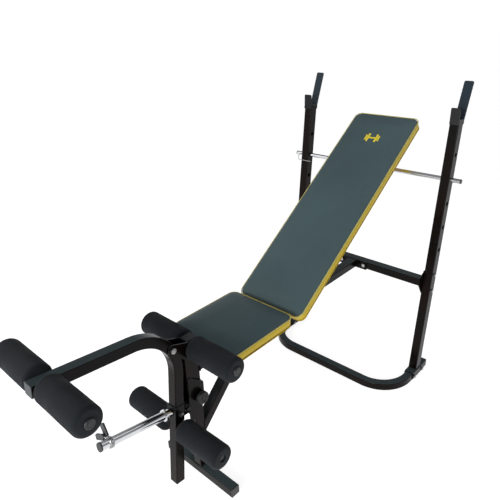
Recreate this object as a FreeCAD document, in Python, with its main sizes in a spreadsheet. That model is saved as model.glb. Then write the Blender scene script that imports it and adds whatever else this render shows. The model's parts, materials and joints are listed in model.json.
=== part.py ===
import FreeCAD, Part
import math
import os

import Sketcher

# Adjustable weight bench: steel tube frame, two uprights with bar holders, a tilting
# backrest on a support bar, a seat, and a swinging leg lever with foam rollers.
# Millimetres. X is across the bench, Y runs from the leg lever (-Y) to the uprights (+Y),
# Z is up, and the floor is Z = 0.

doc = FreeCAD.newDocument("weight_bench")

# ---------------------------------------------------------------- driving sizes
SIZES = {
    # frame tubes
    "wall": 2.0,
    "edge_round": 3.0,
    "base_width": 630.0,
    "base_tube": 30.0,
    "base_bend": 125.0,
    "base_front": 365.5,
    "base_length": 274.0,
    "upright_wide": 32.0,
    "upright_deep": 38.0,
    "upright_lean": 5.8,
    "upright_foot_y": 545.4,
    "upright_length": 960.0,
    "bar_hole_pitch": 86.0,
    "bar_hole_first": 588.0,
    "lip_high": 40.0,
    "holder_high": 123.0,
    "holder_lean": 30.0,
    "saddle_plate": 3.0,
    "saddle_length": 90.0,
    "saddle_drop": 25.0,
    "crossbar_front": 555.0,
    "beam_wide": 36.0,
    "beam_tall": 30.0,
    "beam_top": 428.0,
    "plate": 3.0,
    "flange_half": 62.0,
    "flange_bolt": 50.0,
    # front post, foot and brace
    "post_side": 32.0,
    "post_front": -332.0,
    "post_top": 518.0,
    "foot_half": 149.0,
    "brace_low": 181.0,
    "cap_lip": 2.5,
    # seat and backrest
    "pad_half": 131.0,
    "pad_thick": 38.0,
    "pad_crown": 8.0,
    "pad_corner": 24.0,
    "board_thick": 12.0,
    "board_inset": 7.0,
    "seat_front": -276.0,
    "seat_rise": 21.0,
    "seat_bracket_half": 70.0,
    "back_start": 6.0,
    "back_length": 888.0,
    "hinge_y": 48.4,
    "rail_wide": 20.0,
    "rail_deep": 40.0,
    "rail_gap": 30.0,
    "rail_length": 800.0,
    "support_radius": 8.0,
    "support_out": 32.0,
    # leg lever
    "pivot_y": -390.0,
    "pivot_z": 520.0,
    "rest_angle": 6.0,
    "lever_side": 32.0,
    "lever_bend": 144.0,
    "leg_back": 25.0,
    "leg_drop": 476.0,
    "arm_rise": 59.5,
    "arm_reach": 380.0,
    "lower_rod_drop": 272.0,
    "front_rod_reach": 347.0,
    "stop_drop": 217.0,
    "stop_radius": 11.5,
    "ear_radius": 16.0,
    "channel_bottom": 240.0,
    "channel_depth": 21.5,
    # rollers
    "rod_radius": 11.0,
    "rod_half": 185.3,
    "foam_radius": 35.5,
    "foam_length": 165.0,
    "lower_foam_out": 29.0,
    "upper_rod_z": 490.0,
    # weight peg
    "peg_radius": 12.5,
    "peg_tilt": 5.4,
    "peg_drop": 216.0,
    "peg_reach": 225.5,
    "collar_at": 198.0,
    "collar_wire": 1.8,
    # clearances and fasteners
    "fit": 0.05,
    "gap": 0.3,
    "bolt_play": 0.25,
    "bolt_m8": 4.0,
    "bolt_m10": 5.0,
    "bolt_m6": 3.0,
    "knob_radius": 20.0,
    "knob_thick": 20.0,
    "clamp_z": 318.0,
}

sheet = doc.addObject("Spreadsheet::Sheet", "sizes")
for row, (name, number) in enumerate(SIZES.items(), start=1):
    sheet.set("A%d" % row, name)
    sheet.set("B%d" % row, str(number))
    sheet.setAlias("B%d" % row, name)
doc.recompute()

parts = []


def bound(text):
    """An expression: every {name} stands for a cell of the sheet."""
    for name in SIZES:
        text = text.replace("{%s}" % name, "sizes." + name)
    return text


def value(text):
    """The number that an expression gives now."""
    result = sheet.evalExpression(bound(str(text)))
    return float(getattr(result, "Value", result))


def bind(obj, prop, text):
    obj.setExpression(prop, bound(str(text)))


def place(obj, x="0", y="0", z="0", axis=None, angle="0"):
    """Bind an object's place, and its turn about one axis in degrees."""
    turn = FreeCAD.Rotation()
    if axis is not None:
        turn = FreeCAD.Rotation(FreeCAD.Vector(*axis), value(angle))
    obj.Placement = FreeCAD.Placement(FreeCAD.Vector(value(x), value(y), value(z)), turn)
    bind(obj, "Placement.Base.x", x)
    bind(obj, "Placement.Base.y", y)
    bind(obj, "Placement.Base.z", z)
    return obj


def keep(obj, label):
    """Name a finished sub-part."""
    obj.Label = label
    parts.append(obj)
    return obj


# ---------------------------------------------------------------- primitives
def box(x, y, z, dx, dy, dz):
    solid = doc.addObject("Part::Box", "block")
    bind(solid, "Length", dx)
    bind(solid, "Width", dy)
    bind(solid, "Height", dz)
    return place(solid, x, y, z)


def rod(x, y, z, radius, length, along="z", angle="360"):
    """A cylinder that starts at x, y, z and runs along one axis."""
    solid = doc.addObject("Part::Cylinder", "round")
    bind(solid, "Radius", radius)
    bind(solid, "Height", length)
    bind(solid, "Angle", angle)
    axis, turn = {"z": (None, "0"), "x": ((0, 1, 0), "90"), "y": ((1, 0, 0), "-90")}[along]
    return place(solid, x, y, z, axis, turn)


def hexagon(x, y, z, radius, height, along="z"):
    solid = doc.addObject("Part::Prism", "hexagon")
    solid.Polygon = 6
    bind(solid, "Circumradius", radius)
    bind(solid, "Height", height)
    axis, turn = {"z": (None, "0"), "x": ((0, 1, 0), "90"), "y": ((1, 0, 0), "-90")}[along]
    return place(solid, x, y, z, axis, turn)


def cut(base, *tools):
    result = doc.addObject("Part::Cut", "cut")
    result.Base = base
    result.Tool = tools[0] if len(tools) == 1 else group(*tools)
    return result


def fuse(*solids):
    result = doc.addObject("Part::MultiFuse", "fuse")
    result.Shapes = list(solids)
    return result


def group(*solids):
    """Separate solids in one object."""
    result = doc.addObject("Part::Compound", "group")
    result.Links = list(solids)
    return result


# ---------------------------------------------------------------- sketches
def new_body():
    return doc.addObject("PartDesign::Body", "body")


def new_sketch(body, plane, x="0", y="0", offset="0"):
    """A sketch on one of the body's own planes; x, y move its origin within the plane."""
    sketch = body.newObject("Sketcher::SketchObject", "sketch")
    feature = [item for item in body.Origin.OriginFeatures if item.Role == plane][0]
    sketch.AttachmentSupport = [(feature, "")]
    sketch.MapMode = "FlatFace"
    bind(sketch, "AttachmentOffset.Base.x", x)
    bind(sketch, "AttachmentOffset.Base.y", y)
    bind(sketch, "AttachmentOffset.Base.z", offset)
    return sketch


def fix(sketch, kind, geo, point, text):
    """Tie a sketch point to the origin along X or Y by an expression."""
    if abs(value(text)) < 1e-9:
        axis = -2 if kind == "DistanceX" else -1
        sketch.addConstraint(Sketcher.Constraint("PointOnObject", geo, point, axis))
        return
    index = sketch.addConstraint(Sketcher.Constraint(kind, -1, 1, geo, point, value(text)))
    bind(sketch, "Constraints[%d]" % index, text)


def polygon(sketch, points):
    """A closed outline of straight lines, each corner bound to its two expressions."""
    numbers = [FreeCAD.Vector(value(x), value(y), 0) for x, y in points]
    count = len(points)
    first = sketch.GeometryCount
    for i in range(count):
        sketch.addGeometry(Part.LineSegment(numbers[i], numbers[(i + 1) % count]), False)
    for i in range(count):
        following = first + (i + 1) % count
        sketch.addConstraint(Sketcher.Constraint("Coincident", first + i, 2, following, 1))
    for i, (x, y) in enumerate(points):
        fix(sketch, "DistanceX", first + i, 1, x)
        fix(sketch, "DistanceY", first + i, 1, y)


def circle(sketch, x, y, radius):
    centre = FreeCAD.Vector(value(x), value(y), 0)
    geo = sketch.addGeometry(Part.Circle(centre, FreeCAD.Vector(0, 0, 1), value(radius)), False)
    index = sketch.addConstraint(Sketcher.Constraint("Radius", geo, value(radius)))
    bind(sketch, "Constraints[%d]" % index, radius)
    fix(sketch, "DistanceX", geo, 3, x)
    fix(sketch, "DistanceY", geo, 3, y)


def rounded(sketch, left, right, bottom, top, radius):
    """A rectangle with equal rounded corners."""
    l, r, b, t, c = (value(text) for text in (left, right, bottom, top, radius))
    up = FreeCAD.Vector(0, 0, 1)
    ends = [((l + c, b), (r - c, b)), ((r, b + c), (r, t - c)),
            ((r - c, t), (l + c, t)), ((l, t - c), (l, b + c))]
    first = sketch.GeometryCount
    for start, end in ends:
        sketch.addGeometry(Part.LineSegment(FreeCAD.Vector(*start, 0), FreeCAD.Vector(*end, 0)), False)
    centres = [(r - c, b + c), (r - c, t - c), (l + c, t - c), (l + c, b + c)]
    for i, centre in enumerate(centres):
        start = math.radians(270 + 90 * i)
        whole = Part.Circle(FreeCAD.Vector(*centre, 0), up, c)
        sketch.addGeometry(Part.ArcOfCircle(whole, start, start + math.pi / 2), False)
    for i in range(4):
        arc = first + 4 + i
        sketch.addConstraint(Sketcher.Constraint("Tangent", first + i, 2, arc, 1))
        sketch.addConstraint(Sketcher.Constraint("Tangent", arc, 2, first + (i + 1) % 4, 1))
        kind = "Horizontal" if i % 2 == 0 else "Vertical"
        sketch.addConstraint(Sketcher.Constraint(kind, first + i))
    for i in range(3):
        sketch.addConstraint(Sketcher.Constraint("Equal", first + 4, first + 5 + i))
    index = sketch.addConstraint(Sketcher.Constraint("Radius", first + 4, c))
    bind(sketch, "Constraints[%d]" % index, radius)
    fix(sketch, "DistanceY", first, 1, bottom)
    fix(sketch, "DistanceX", first + 1, 1, right)
    fix(sketch, "DistanceY", first + 2, 1, top)
    fix(sketch, "DistanceX", first + 3, 1, left)


def tube_outline(sketch, x, y, wide, deep):
    """The section of a rectangular tube about x, y: outside, and inside by its wall."""
    rounded(sketch, f"{x} - ({wide}) / 2", f"{x} + ({wide}) / 2", f"{y} - ({deep}) / 2",
            f"{y} + ({deep}) / 2", "{edge_round}")
    rounded(sketch, f"{x} - ({wide}) / 2 + {{wall}}", f"{x} + ({wide}) / 2 - {{wall}}",
            f"{y} - ({deep}) / 2 + {{wall}}", f"{y} + ({deep}) / 2 - {{wall}}",
            "{edge_round} - {wall} / 2")


def pad(body, sketch, length, backwards=False):
    feature = body.newObject("PartDesign::Pad", "pad")
    feature.Profile = sketch
    feature.Reversed = backwards
    bind(feature, "Length", length)
    return feature


def revolve(body, sketch, axis, angle, backwards=False):
    feature = body.newObject("PartDesign::Revolution", "bend")
    feature.Profile = sketch
    feature.ReferenceAxis = (sketch, [axis])
    feature.Angle = angle
    feature.Reversed = backwards
    return feature


def soften(body, radius, chosen):
    """Round the chosen edges of the body's last feature."""
    last = body.Tip
    edges = [f"Edge{i + 1}" for i, edge in enumerate(last.Shape.Edges) if chosen(edge)]
    feature = body.newObject("PartDesign::Fillet", "rim")
    feature.Base = (last, edges)
    bind(feature, "Radius", radius)


def straight_tube(wide, deep, length, plane="XY_Plane", x="0", y="0", offset="0"):
    """A tube whose section is wide by deep about x, y of the plane, from offset on."""
    body = new_body()
    sketch = new_sketch(body, plane, offset=offset)
    tube_outline(sketch, x, y, wide, deep)
    pad(body, sketch, length)
    return body


def plate(plane, points, thick, offset="0"):
    body = new_body()
    sketch = new_sketch(body, plane, offset=offset)
    polygon(sketch, points)
    pad(body, sketch, thick)
    return body


# ---------------------------------------------------------------- fasteners
def bolt(x, y, z, radius, grip, along, head_first=True):
    """A hex bolt across a joint of the given grip, with a nut on its far side.

    x, y, z is where the shank enters the grip at its lower end along the axis."""
    head = f"{radius} * 1.85"
    high = f"{radius} * 1.2"
    step = {"x": (1, 0, 0), "y": (0, 1, 0), "z": (0, 0, 1)}[along]

    def at(distance):
        return [f"{p} + ({distance}) * {s}" for p, s in zip((x, y, z), step)]

    low, far = f"-({high})", grip
    nut_from, head_from = (far, low) if head_first else (low, far)
    tail = f"{radius} * 0.5"
    begin = low if head_first else f"{low} - {tail}"
    shank = rod(*at(begin), radius, f"({grip}) + 2 * ({high}) + {tail}", along)
    top = hexagon(*at(head_from), head, high, along)
    nut = cut(hexagon(*at(nut_from), head, high, along),
              rod(*at(f"{nut_from} - 1"), f"{radius} + {{fit}}", f"{high} + 2", along))
    return group(fuse(shank, top), nut)


def hole(x, y, z, radius, length, along):
    return rod(x, y, z, f"{radius} + {{bolt_play}}", length, along)


# ================================================================ base frame
# A floor tube bent into a U: the closed side faces forward, the arms run back.
base = new_body()
half_out = "{base_width} / 2 - {base_tube} / 2"
arm_from = "{base_front} + {base_tube} / 2 + {base_bend}"
front_line = "{base_front} + {base_tube} / 2"
cross = new_sketch(base, "YZ_Plane", offset="-({base_width} / 2 - {base_tube} / 2 - {base_bend})")
tube_outline(cross, front_line, "{base_tube} / 2", "{base_tube}", "{base_tube}")
pad(base, cross, "{base_width} - {base_tube} - 2 * {base_bend}")
for side in (1, -1):
    corner_x = f"{side} * ({half_out} - {{base_bend}})"
    corner = new_sketch(base, "YZ_Plane", x=arm_from, offset=corner_x)
    tube_outline(corner, "-{base_bend}", "{base_tube} / 2", "{base_tube}", "{base_tube}")
    revolve(base, corner, "V_Axis", 90, backwards=(side < 0))
    arm = new_sketch(base, "XZ_Plane", offset=f"-({arm_from})")
    tube_outline(arm, f"{side} * ({half_out})", "{base_tube} / 2", "{base_tube}", "{base_tube}")
    pad(base, arm, "{base_length} - {base_tube} / 2 - {base_bend}", backwards=True)

base_end = "{base_front} + {base_length}"
upright_mid_y = "{upright_foot_y} + {upright_deep} / 2"
saddle_pitch = "{saddle_length} * 0.35"
arm_bolts = [f"{upright_mid_y} + {k} * ({saddle_pitch})" for k in (-1, 1)]
saddle_z = "{base_tube} * 0.45"


def arm_bolt_holes():
    holes = []
    for side in (1, -1):
        start = f"{side} * ({half_out}) - {{base_tube}}"
        holes += [hole(start, y, saddle_z, "{bolt_m8}", "{base_tube} * 2", "x") for y in arm_bolts]
    return holes


keep(cut(base, *arm_bolt_holes()), "base_frame_tube")


def square_cap(side, deep, lip, x, y, z, along):
    """A plastic plug for a tube end: a lip outside, and a stem that fills the bore."""
    inner_a = f"({side}) - 2 * {{wall}} - 2 * {{fit}}"
    inner_b = f"({deep}) - 2 * {{wall}} - 2 * {{fit}}"
    body = new_body()
    outer = new_sketch(body, "XY_Plane")
    rounded(outer, f"-({side}) / 2", f"({side}) / 2", f"-({deep}) / 2", f"({deep}) / 2", "{edge_round}")
    pad(body, outer, lip)
    stem = new_sketch(body, "XY_Plane")
    rounded(stem, f"-({inner_a}) / 2", f"({inner_a}) / 2", f"-({inner_b}) / 2", f"({inner_b}) / 2",
            "{edge_round} - {wall} / 2")
    pad(body, stem, "12", backwards=True)
    doc.recompute()
    soften(body, "1.0", lambda edge: all(abs(v.Z - value(lip)) < 1e-6 for v in edge.Vertexes))
    axis, turn = {"+z": (None, "0"), "-z": ((1, 0, 0), "180"), "+y": ((1, 0, 0), "-90"),
                  "-y": ((1, 0, 0), "90"), "+x": ((0, 1, 0), "90"), "-x": ((0, 1, 0), "-90")}[along]
    return place(body, x, y, z, axis, turn)


keep(group(*[square_cap("{base_tube}", "{base_tube}", "{cap_lip}", f"{side} * ({half_out})", base_end,
                        "{base_tube} / 2", "+y") for side in (1, -1)]), "base_tube_caps")

# ================================================================ uprights
# Each upright leans back. It is built straight, with its foot at its own origin: local Y
# is the depth from its front face, and local Z runs along the tube.
upright_foot_z = "{base_tube} + {saddle_plate} + 2 * {fit} + {upright_deep} * sin({upright_lean})"
lean = "-{upright_lean}"
bar_level = "{bar_hole_first} + 2 * {bar_hole_pitch}"
bar_levels = [f"{{bar_hole_first}} + {k} * {{bar_hole_pitch}} - {{bar_hole_pitch}}" for k in range(5)]
side_bolt_levels = ["{beam_top} - 90", "{beam_top} - 26"]


def lean_back(obj, x):
    return place(obj, x, "{upright_foot_y}", upright_foot_z, (1, 0, 0), lean)


def leaned(along, depth):
    """World Y and Z of a point that lies along the upright, at a depth behind its front."""
    y = f"{{upright_foot_y}} + ({along}) * sin({{upright_lean}}) + ({depth}) * cos({{upright_lean}})"
    z = f"{upright_foot_z} + ({along}) * cos({{upright_lean}}) - ({depth}) * sin({{upright_lean}})"
    return y, z


upright_inner = "{base_width} / 2 - {upright_wide}"
for name, side in (("left", -1), ("right", 1)):
    body = straight_tube("{upright_wide}", "{upright_deep}", "{upright_length}", y="{upright_deep} / 2")
    holes = [rod("-{upright_wide}", "{upright_deep} / 2", level, "{support_radius} + 2 * {fit}",
                 "2 * {upright_wide}", "x") for level in bar_levels]
    holes += [hole("-{upright_wide}", "{upright_deep} / 2", level, "{bolt_m8}", "2 * {upright_wide}", "x")
              for level in side_bolt_levels]
    shape = cut(body, *holes)
    keep(lean_back(shape, f"{side} * ({upright_inner} + {{upright_wide}} / 2)"), "upright_" + name)

# The saddles fold over the base arms, under the uprights.
saddles = []
for side in (1, -1):
    centre = f"{side} * ({half_out})"
    inside = "{base_tube} / 2 + {fit}"
    start = f"{upright_mid_y} - {{saddle_length}} / 2"
    outer = box(f"{centre} - ({inside}) - {{saddle_plate}}", start, "{base_tube} + {fit} - {saddle_drop}",
                f"2 * ({inside} + {{saddle_plate}})", "{saddle_length}", "{saddle_drop} + {saddle_plate}")
    inner = box(f"{centre} - ({inside})", f"{start} - 1", "{base_tube} + {fit} - {saddle_drop} - 1",
                f"2 * ({inside})", "{saddle_length} + 2", "{saddle_drop} + 1")
    holes = [hole(f"{centre} - {{base_tube}}", y, saddle_z, "{bolt_m8}", "2 * {base_tube}", "x")
             for y in arm_bolts]
    saddles.append(cut(outer, inner, *holes))
keep(group(*saddles), "upright_saddles")
saddle_half = "{base_tube} / 2 + {fit} + {saddle_plate}"
saddle_grip = f"2 * ({saddle_half})"
keep(group(*[bolt(f"{side} * ({half_out}) - ({saddle_half})", y, saddle_z, "{bolt_m8}", saddle_grip, "x",
                  head_first=(side < 0)) for side in (1, -1) for y in arm_bolts]), "saddle_bolts")

# Bar holders: a bent plate on each upright, with a short front lip and a tall back plate.
holders = []
lip_top = "{upright_length} + {lip_high}"
back_top = "{upright_length} + {holder_high}"
for side in (1, -1):
    outline = [("-{plate}", "{upright_length} - 14"), ("-{plate}", "{upright_length} + 1"),
               ("-{plate} - 4", lip_top), ("-4", lip_top),
               ("0", "{upright_length} + {plate}"), ("{upright_deep}", "{upright_length} + {plate}"),
               ("{upright_deep} + {holder_lean}", f"{back_top} + 1"),
               ("{upright_deep} + {plate} + {holder_lean}", back_top),
               ("{upright_deep} + {plate}", "{upright_length} + 1"),
               ("{upright_deep} + {plate}", "{upright_length} - 14"),
               ("{upright_deep} + {fit}", "{upright_length} - 14"),
               ("{upright_deep} + {fit}", "{upright_length}"), ("-{fit}", "{upright_length}"),
               ("-{fit}", "{upright_length} - 14")]
    body = plate("YZ_Plane", outline, "{upright_wide}", offset="-{upright_wide} / 2")
    doc.recompute()
    tips = [value(lip_top), value(back_top)]
    soften(body, "5.0", lambda edge: edge.Length < 6 and any(
        all(abs(v.Z - tip) < 1.5 for v in edge.Vertexes) for tip in tips))
    holders.append(lean_back(body, f"{side} * ({upright_inner} + {{upright_wide}} / 2)"))
keep(group(*holders), "bar_holders")

# ================================================================ rear crossbar and main beam
beam_mid = "{beam_top} - {beam_tall} / 2"
crossbar_mid_y = "{crossbar_front} + {beam_wide} / 2"
crossbar_half = "{base_width} / 2 - {upright_wide} - {plate} - {fit}"
bar_body = straight_tube("{beam_wide}", "{beam_tall}", f"2 * ({crossbar_half})", "YZ_Plane",
                         crossbar_mid_y, beam_mid, f"-({crossbar_half})")
flange_holes = [hole(f"{k} * {{flange_bolt}}", "{crossbar_front} - 20", beam_mid, "{bolt_m8}",
                     "{beam_wide} + 40", "y") for k in (1, -1)]
keep(cut(bar_body, *flange_holes), "rear_crossbar")

# End plates carry the crossbar on the inner faces of the uprights.
bolt_points = [leaned(level, "{upright_deep} / 2") for level in side_bolt_levels]
low_y, low_z = bolt_points[0]
high_y, high_z = bolt_points[1]
end_plates = []
for side in (1, -1):
    outline = [("{crossbar_front}", "{beam_top} - {beam_tall}"), ("{crossbar_front}", "{beam_top}"),
               (f"{high_y} - 14", f"{high_z} + 12"), (f"{high_y} + 14", f"{high_z} + 12"),
               (f"{low_y} + 16", f"{low_z} - 14"), (f"{low_y} - 16", f"{low_z} - 14")]
    start = crossbar_half if side > 0 else f"-({crossbar_half}) - {{plate}}"
    body = plate("YZ_Plane", outline, "{plate}", offset=start)
    holes = [hole(f"{start} - 2", y, z, "{bolt_m8}", "{plate} + 4", "x") for y, z in bolt_points]
    end_plates.append(cut(body, *holes))
keep(group(*end_plates), "crossbar_end_plates")
plate_grip = "{upright_wide} + {plate} + {fit}"
keep(group(*[bolt(crossbar_half if side > 0 else "-{base_width} / 2", y, z, "{bolt_m8}", plate_grip, "x",
                  head_first=(side < 0)) for side in (1, -1) for y, z in bolt_points]), "crossbar_bolts")

# The main beam runs level from the post to a flange on the crossbar.
post_mid_y = "{post_front} + {post_side} / 2"
post_back = "{post_front} + {post_side}"
beam_end = "{crossbar_front} - {plate}"
beam = straight_tube("{beam_wide}", "{beam_tall}", f"({beam_end}) - ({post_back})", "XZ_Plane", "0", beam_mid,
                     f"-({beam_end})")
hinge_z = beam_mid
beam_cut = cut(beam, hole("-{beam_wide}", "{hinge_y}", hinge_z, "{bolt_m10}", "2 * {beam_wide}", "x"))
keep(beam_cut, "main_beam")
flange = box("-{flange_half}", beam_end, "{beam_top} - {beam_tall} - 3", "2 * {flange_half}", "{plate}",
             "{beam_tall} + 3")
keep(cut(flange, *[hole(f"{k} * {{flange_bolt}}", f"{beam_end} - 2", beam_mid, "{bolt_m8}",
                        "{plate} + 4", "y") for k in (1, -1)]), "beam_flange")
keep(group(*[bolt(f"{k} * {{flange_bolt}}", beam_end, beam_mid, "{bolt_m8}", "{plate} + {beam_wide}", "y")
             for k in (1, -1)]), "beam_flange_bolts")

# ================================================================ front post, foot and brace
foot = straight_tube("{post_side}", "{post_side}", "2 * {foot_half}", "YZ_Plane", post_mid_y,
                     "{post_side} / 2", "-{foot_half}")
keep(foot, "front_foot")
keep(group(square_cap("{post_side}", "{post_side}", "{cap_lip}", "{foot_half}", post_mid_y,
                      "{post_side} / 2", "+x"),
           square_cap("{post_side}", "{post_side}", "{cap_lip}", "-{foot_half}", post_mid_y,
                      "{post_side} / 2", "-x")), "front_foot_caps")
post = straight_tube("{post_side}", "{post_side}", "{post_top} - {cap_lip} - {post_side}", "XY_Plane", "0",
                     post_mid_y, "{post_side}")
keep(cut(post, rod("-{post_side}", post_mid_y, "{upper_rod_z}", "{rod_radius} + {fit}",
                   "2 * {post_side}", "x"),
         hole("-{post_side}", post_mid_y, "{clamp_z}", "{bolt_m8}", "2 * {post_side}", "x")), "front_post")
keep(square_cap("{post_side}", "{post_side}", "{cap_lip}", "0", post_mid_y, "{post_top} - {cap_lip}", "+z"),
     "post_top_cap")
# The brace is a tube at 45 degrees, mitred to the back of the post and the beam's underside.
brace_rise = "{beam_top} - {beam_tall} - {brace_low}"
brace = straight_tube("{post_side}", "{post_side}", f"({brace_rise}) * sqrt(2) + 4 * {{post_side}}",
                      "XY_Plane", "0", "0", "-2 * {post_side}")
place(brace, "0", post_back, "{brace_low}", (1, 0, 0), "-45")
room = box("-{post_side}", post_back, "0", "2 * {post_side}", "600", "{beam_top} - {beam_tall}")
mitred = doc.addObject("Part::Common", "mitred")
mitred.Base = brace
mitred.Tool = room
keep(mitred, "front_brace")

# ================================================================ pivot bracket and stop
# A channel stands on the front of the post. Its sides carry the stop bolt low down, and rise
# into two ears that hold the lever's pivot bolt.
ear_in = "{lever_side} / 2 + 2 * {gap}"
channel_front = "{post_front} - {channel_depth}"
turn = "{rest_angle}"
stop_back = "{leg_back} + {lever_side} / 2 + {gap} + {stop_radius}"
stop_y = f"{{pivot_y}} + ({stop_back}) * cos({turn}) - {{stop_drop}} * sin({turn})"
stop_z = f"{{pivot_z}} - ({stop_back}) * sin({turn}) - {{stop_drop}} * cos({turn})"
bracket = new_body()
web = new_sketch(bracket, "XY_Plane", offset="{channel_bottom}")
polygon(web, [(f"-({ear_in}) - {{plate}}", "{post_front} - {plate}"), (f"({ear_in}) + {{plate}}",
              "{post_front} - {plate}"), (f"({ear_in}) + {{plate}}", "{post_front}"),
              (f"-({ear_in}) - {{plate}}", "{post_front}")])
pad(bracket, web, "{post_top} - {channel_bottom} - {cap_lip}")
for side in (1, -1):
    face = f"{ear_in}" if side > 0 else f"-({ear_in}) - {{plate}}"
    cheek = new_sketch(bracket, "YZ_Plane", offset=face)
    polygon(cheek, [("{post_front}", "{channel_bottom}"), (channel_front, "{channel_bottom}"),
                    (channel_front, "{pivot_z} - 52"), ("{pivot_y} + 2", "{pivot_z} - {ear_radius}"),
                    ("{pivot_y}", "{pivot_z} + {ear_radius}"), ("{post_front}", "{post_top} - {cap_lip}")])
    pad(bracket, cheek, "{plate}")
    ear = new_sketch(bracket, "YZ_Plane", offset=face)
    circle(ear, "{pivot_y}", "{pivot_z}", "{ear_radius}")
    pad(bracket, ear, "{plate}")
    lug = new_sketch(bracket, "YZ_Plane", offset=face)
    circle(lug, stop_y, stop_z, "{stop_radius} - 2")
    pad(bracket, lug, "{plate}")
keep(cut(bracket, hole("-{post_side}", "{pivot_y}", "{pivot_z}", "{bolt_m10}", "2 * {post_side}", "x"),
         hole("-{post_side}", stop_y, stop_z, "{bolt_m8}", "2 * {post_side}", "x")), "pivot_bracket")
ear_out = f"{ear_in} + {{plate}}"
keep(bolt(f"-({ear_out})", "{pivot_y}", "{pivot_z}", "{bolt_m10}", f"2 * ({ear_out})", "x",
          head_first=False), "pivot_bolt")
keep(bolt(f"-({ear_out})", stop_y, stop_z, "{bolt_m8}", f"2 * ({ear_out})", "x", head_first=False),
     "stop_bolt")
keep(cut(rod(f"-({ear_in}) + {{gap}}", stop_y, stop_z, "{stop_radius}", f"2 * ({ear_in} - {{gap}})", "x"),
         rod("-{post_side}", stop_y, stop_z, "{bolt_m8} + {fit}", "2 * {post_side}", "x")), "stop_sleeve")

# ================================================================ clamp bracket and knob
# A plate bent round the back of the post reaches forward over the channel; a knob on a long
# bolt draws it tight.
clamp_in = f"{ear_out} + {{gap}}"
clamp_back = f"{post_back} + {{gap}}"
clamp = new_body()
for side in (1, -1):
    face = clamp_in if side > 0 else f"-({clamp_in}) - {{plate}}"
    cheek = new_sketch(clamp, "YZ_Plane", offset=face)
    polygon(cheek, [(f"{channel_front}", "{clamp_z} + 12"), (f"{channel_front}", "{clamp_z} + 80"),
                    (f"{channel_front} + 10", "{clamp_z} + 80"),
                    (f"{clamp_back} + {{plate}}", "{clamp_z} + 42"),
                    (f"{clamp_back} + {{plate}}", "{clamp_z} - 20"), ("{post_front} + 4", "{clamp_z} - 20")])
    pad(clamp, cheek, "{plate}")
back = new_sketch(clamp, "XZ_Plane", offset=f"-({clamp_back}) - {{plate}}")
polygon(back, [(f"-({clamp_in}) - {{plate}}", "{clamp_z} - 20"),
               (f"({clamp_in}) + {{plate}}", "{clamp_z} - 20"),
               (f"({clamp_in}) + {{plate}}", "{clamp_z} + 42"),
               (f"-({clamp_in}) - {{plate}}", "{clamp_z} + 42")])
pad(clamp, back, "{plate}")
clamp_out = f"{clamp_in} + {{plate}}"
weld_nut = hexagon(f"-({clamp_out}) - 7", post_mid_y, "{clamp_z}", "{bolt_m8} * 1.85", "7", "x")
clamp_holes = [hole("-{post_side} * 2", post_mid_y, "{clamp_z}", "{bolt_m8} - 0.15", "4 * {post_side}", "x")]
keep(cut(fuse(clamp, weld_nut), *clamp_holes), "clamp_bracket")
knob_from = f"{clamp_out} + {{gap}}"
keep(rod(f"-({clamp_out}) - 12", post_mid_y, "{clamp_z}", "{bolt_m8}", f"{clamp_out} + 12 + {knob_from} + 8",
         "x"), "clamp_bolt")
knob_core = rod(knob_from, post_mid_y, "{clamp_z}", "{knob_radius} * 0.6", "{knob_thick}", "x")
knob_rim = rod(f"{knob_from} + 5", post_mid_y, "{clamp_z}", "{knob_radius}", "{knob_thick} - 5", "x")
knob_bore = rod(f"{knob_from} - 1", post_mid_y, "{clamp_z}", "{bolt_m8} + {fit}", "9.1", "x")
keep(cut(fuse(knob_core, knob_rim), knob_bore), "clamp_knob")


# ================================================================ seat
def upholstery(left, right, front, rear, thick):
    """A padded cover: a rounded slab whose upper rim is soft, open below for its board."""
    body = new_body()
    outline = new_sketch(body, "XY_Plane")
    rounded(outline, left, right, front, rear, "{pad_corner}")
    pad(body, outline, thick)
    doc.recompute()
    soften(body, "{pad_crown}", lambda edge: all(abs(v.Z - value(thick)) < 1e-6 for v in edge.Vertexes))
    return body


def board(front, rear, play="0"):
    body = new_body()
    outline = new_sketch(body, "XY_Plane")
    inset = f"{{board_inset}} - {play}"
    rounded(outline, f"-{{pad_half}} + {inset}", f"{{pad_half}} - ({inset})", f"{front} + {inset}",
            f"{rear} - ({inset})", "{pad_corner} - {board_inset}")
    pad(body, outline, "{board_thick}")
    return body


seat_bottom = "{beam_top} + {seat_rise}"
seat_rear = "0"
seat = cut(upholstery("-{pad_half}", "{pad_half}", "{seat_front}", seat_rear, "{pad_thick}"),
           board("{seat_front}", seat_rear, "{fit}"))
keep(place(seat, "0", "0", seat_bottom), "seat_pad")
screw_x = "{seat_bracket_half} - 14"
bracket_y = ["{seat_front} * 0.25", "{seat_front} * 0.8"]
seat_points = [(f"{k} * ({screw_x})", y) for k in (1, -1) for y in bracket_y]
screw_depth = "{board_thick} * 0.75"
seat_holes = [rod(x, y, "-1", "{bolt_m6} + {fit}", f"{screw_depth} + 1") for x, y in seat_points]
keep(place(cut(board("{seat_front}", seat_rear), *seat_holes), "0", "0", seat_bottom), "seat_board")
brackets = []
for y in bracket_y:
    outer = box("-{seat_bracket_half}", f"{y} - 16", "{beam_top}", "2 * {seat_bracket_half}", "32",
                "{seat_rise}")
    inner = box("-{seat_bracket_half} - 1", f"{y} - 16 + {{plate}}", "{beam_top} - 1",
                "2 * {seat_bracket_half} + 2", "32 - 2 * {plate}", "{seat_rise} - {plate} + 1")
    holes = [hole(f"{k} * ({screw_x})", y, "{beam_top}", "{bolt_m6}", "{seat_rise} + 1", "z")
             for k in (1, -1)]
    brackets.append(cut(outer, inner, *holes))
keep(group(*brackets), "seat_brackets")
seat_screws = []
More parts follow.
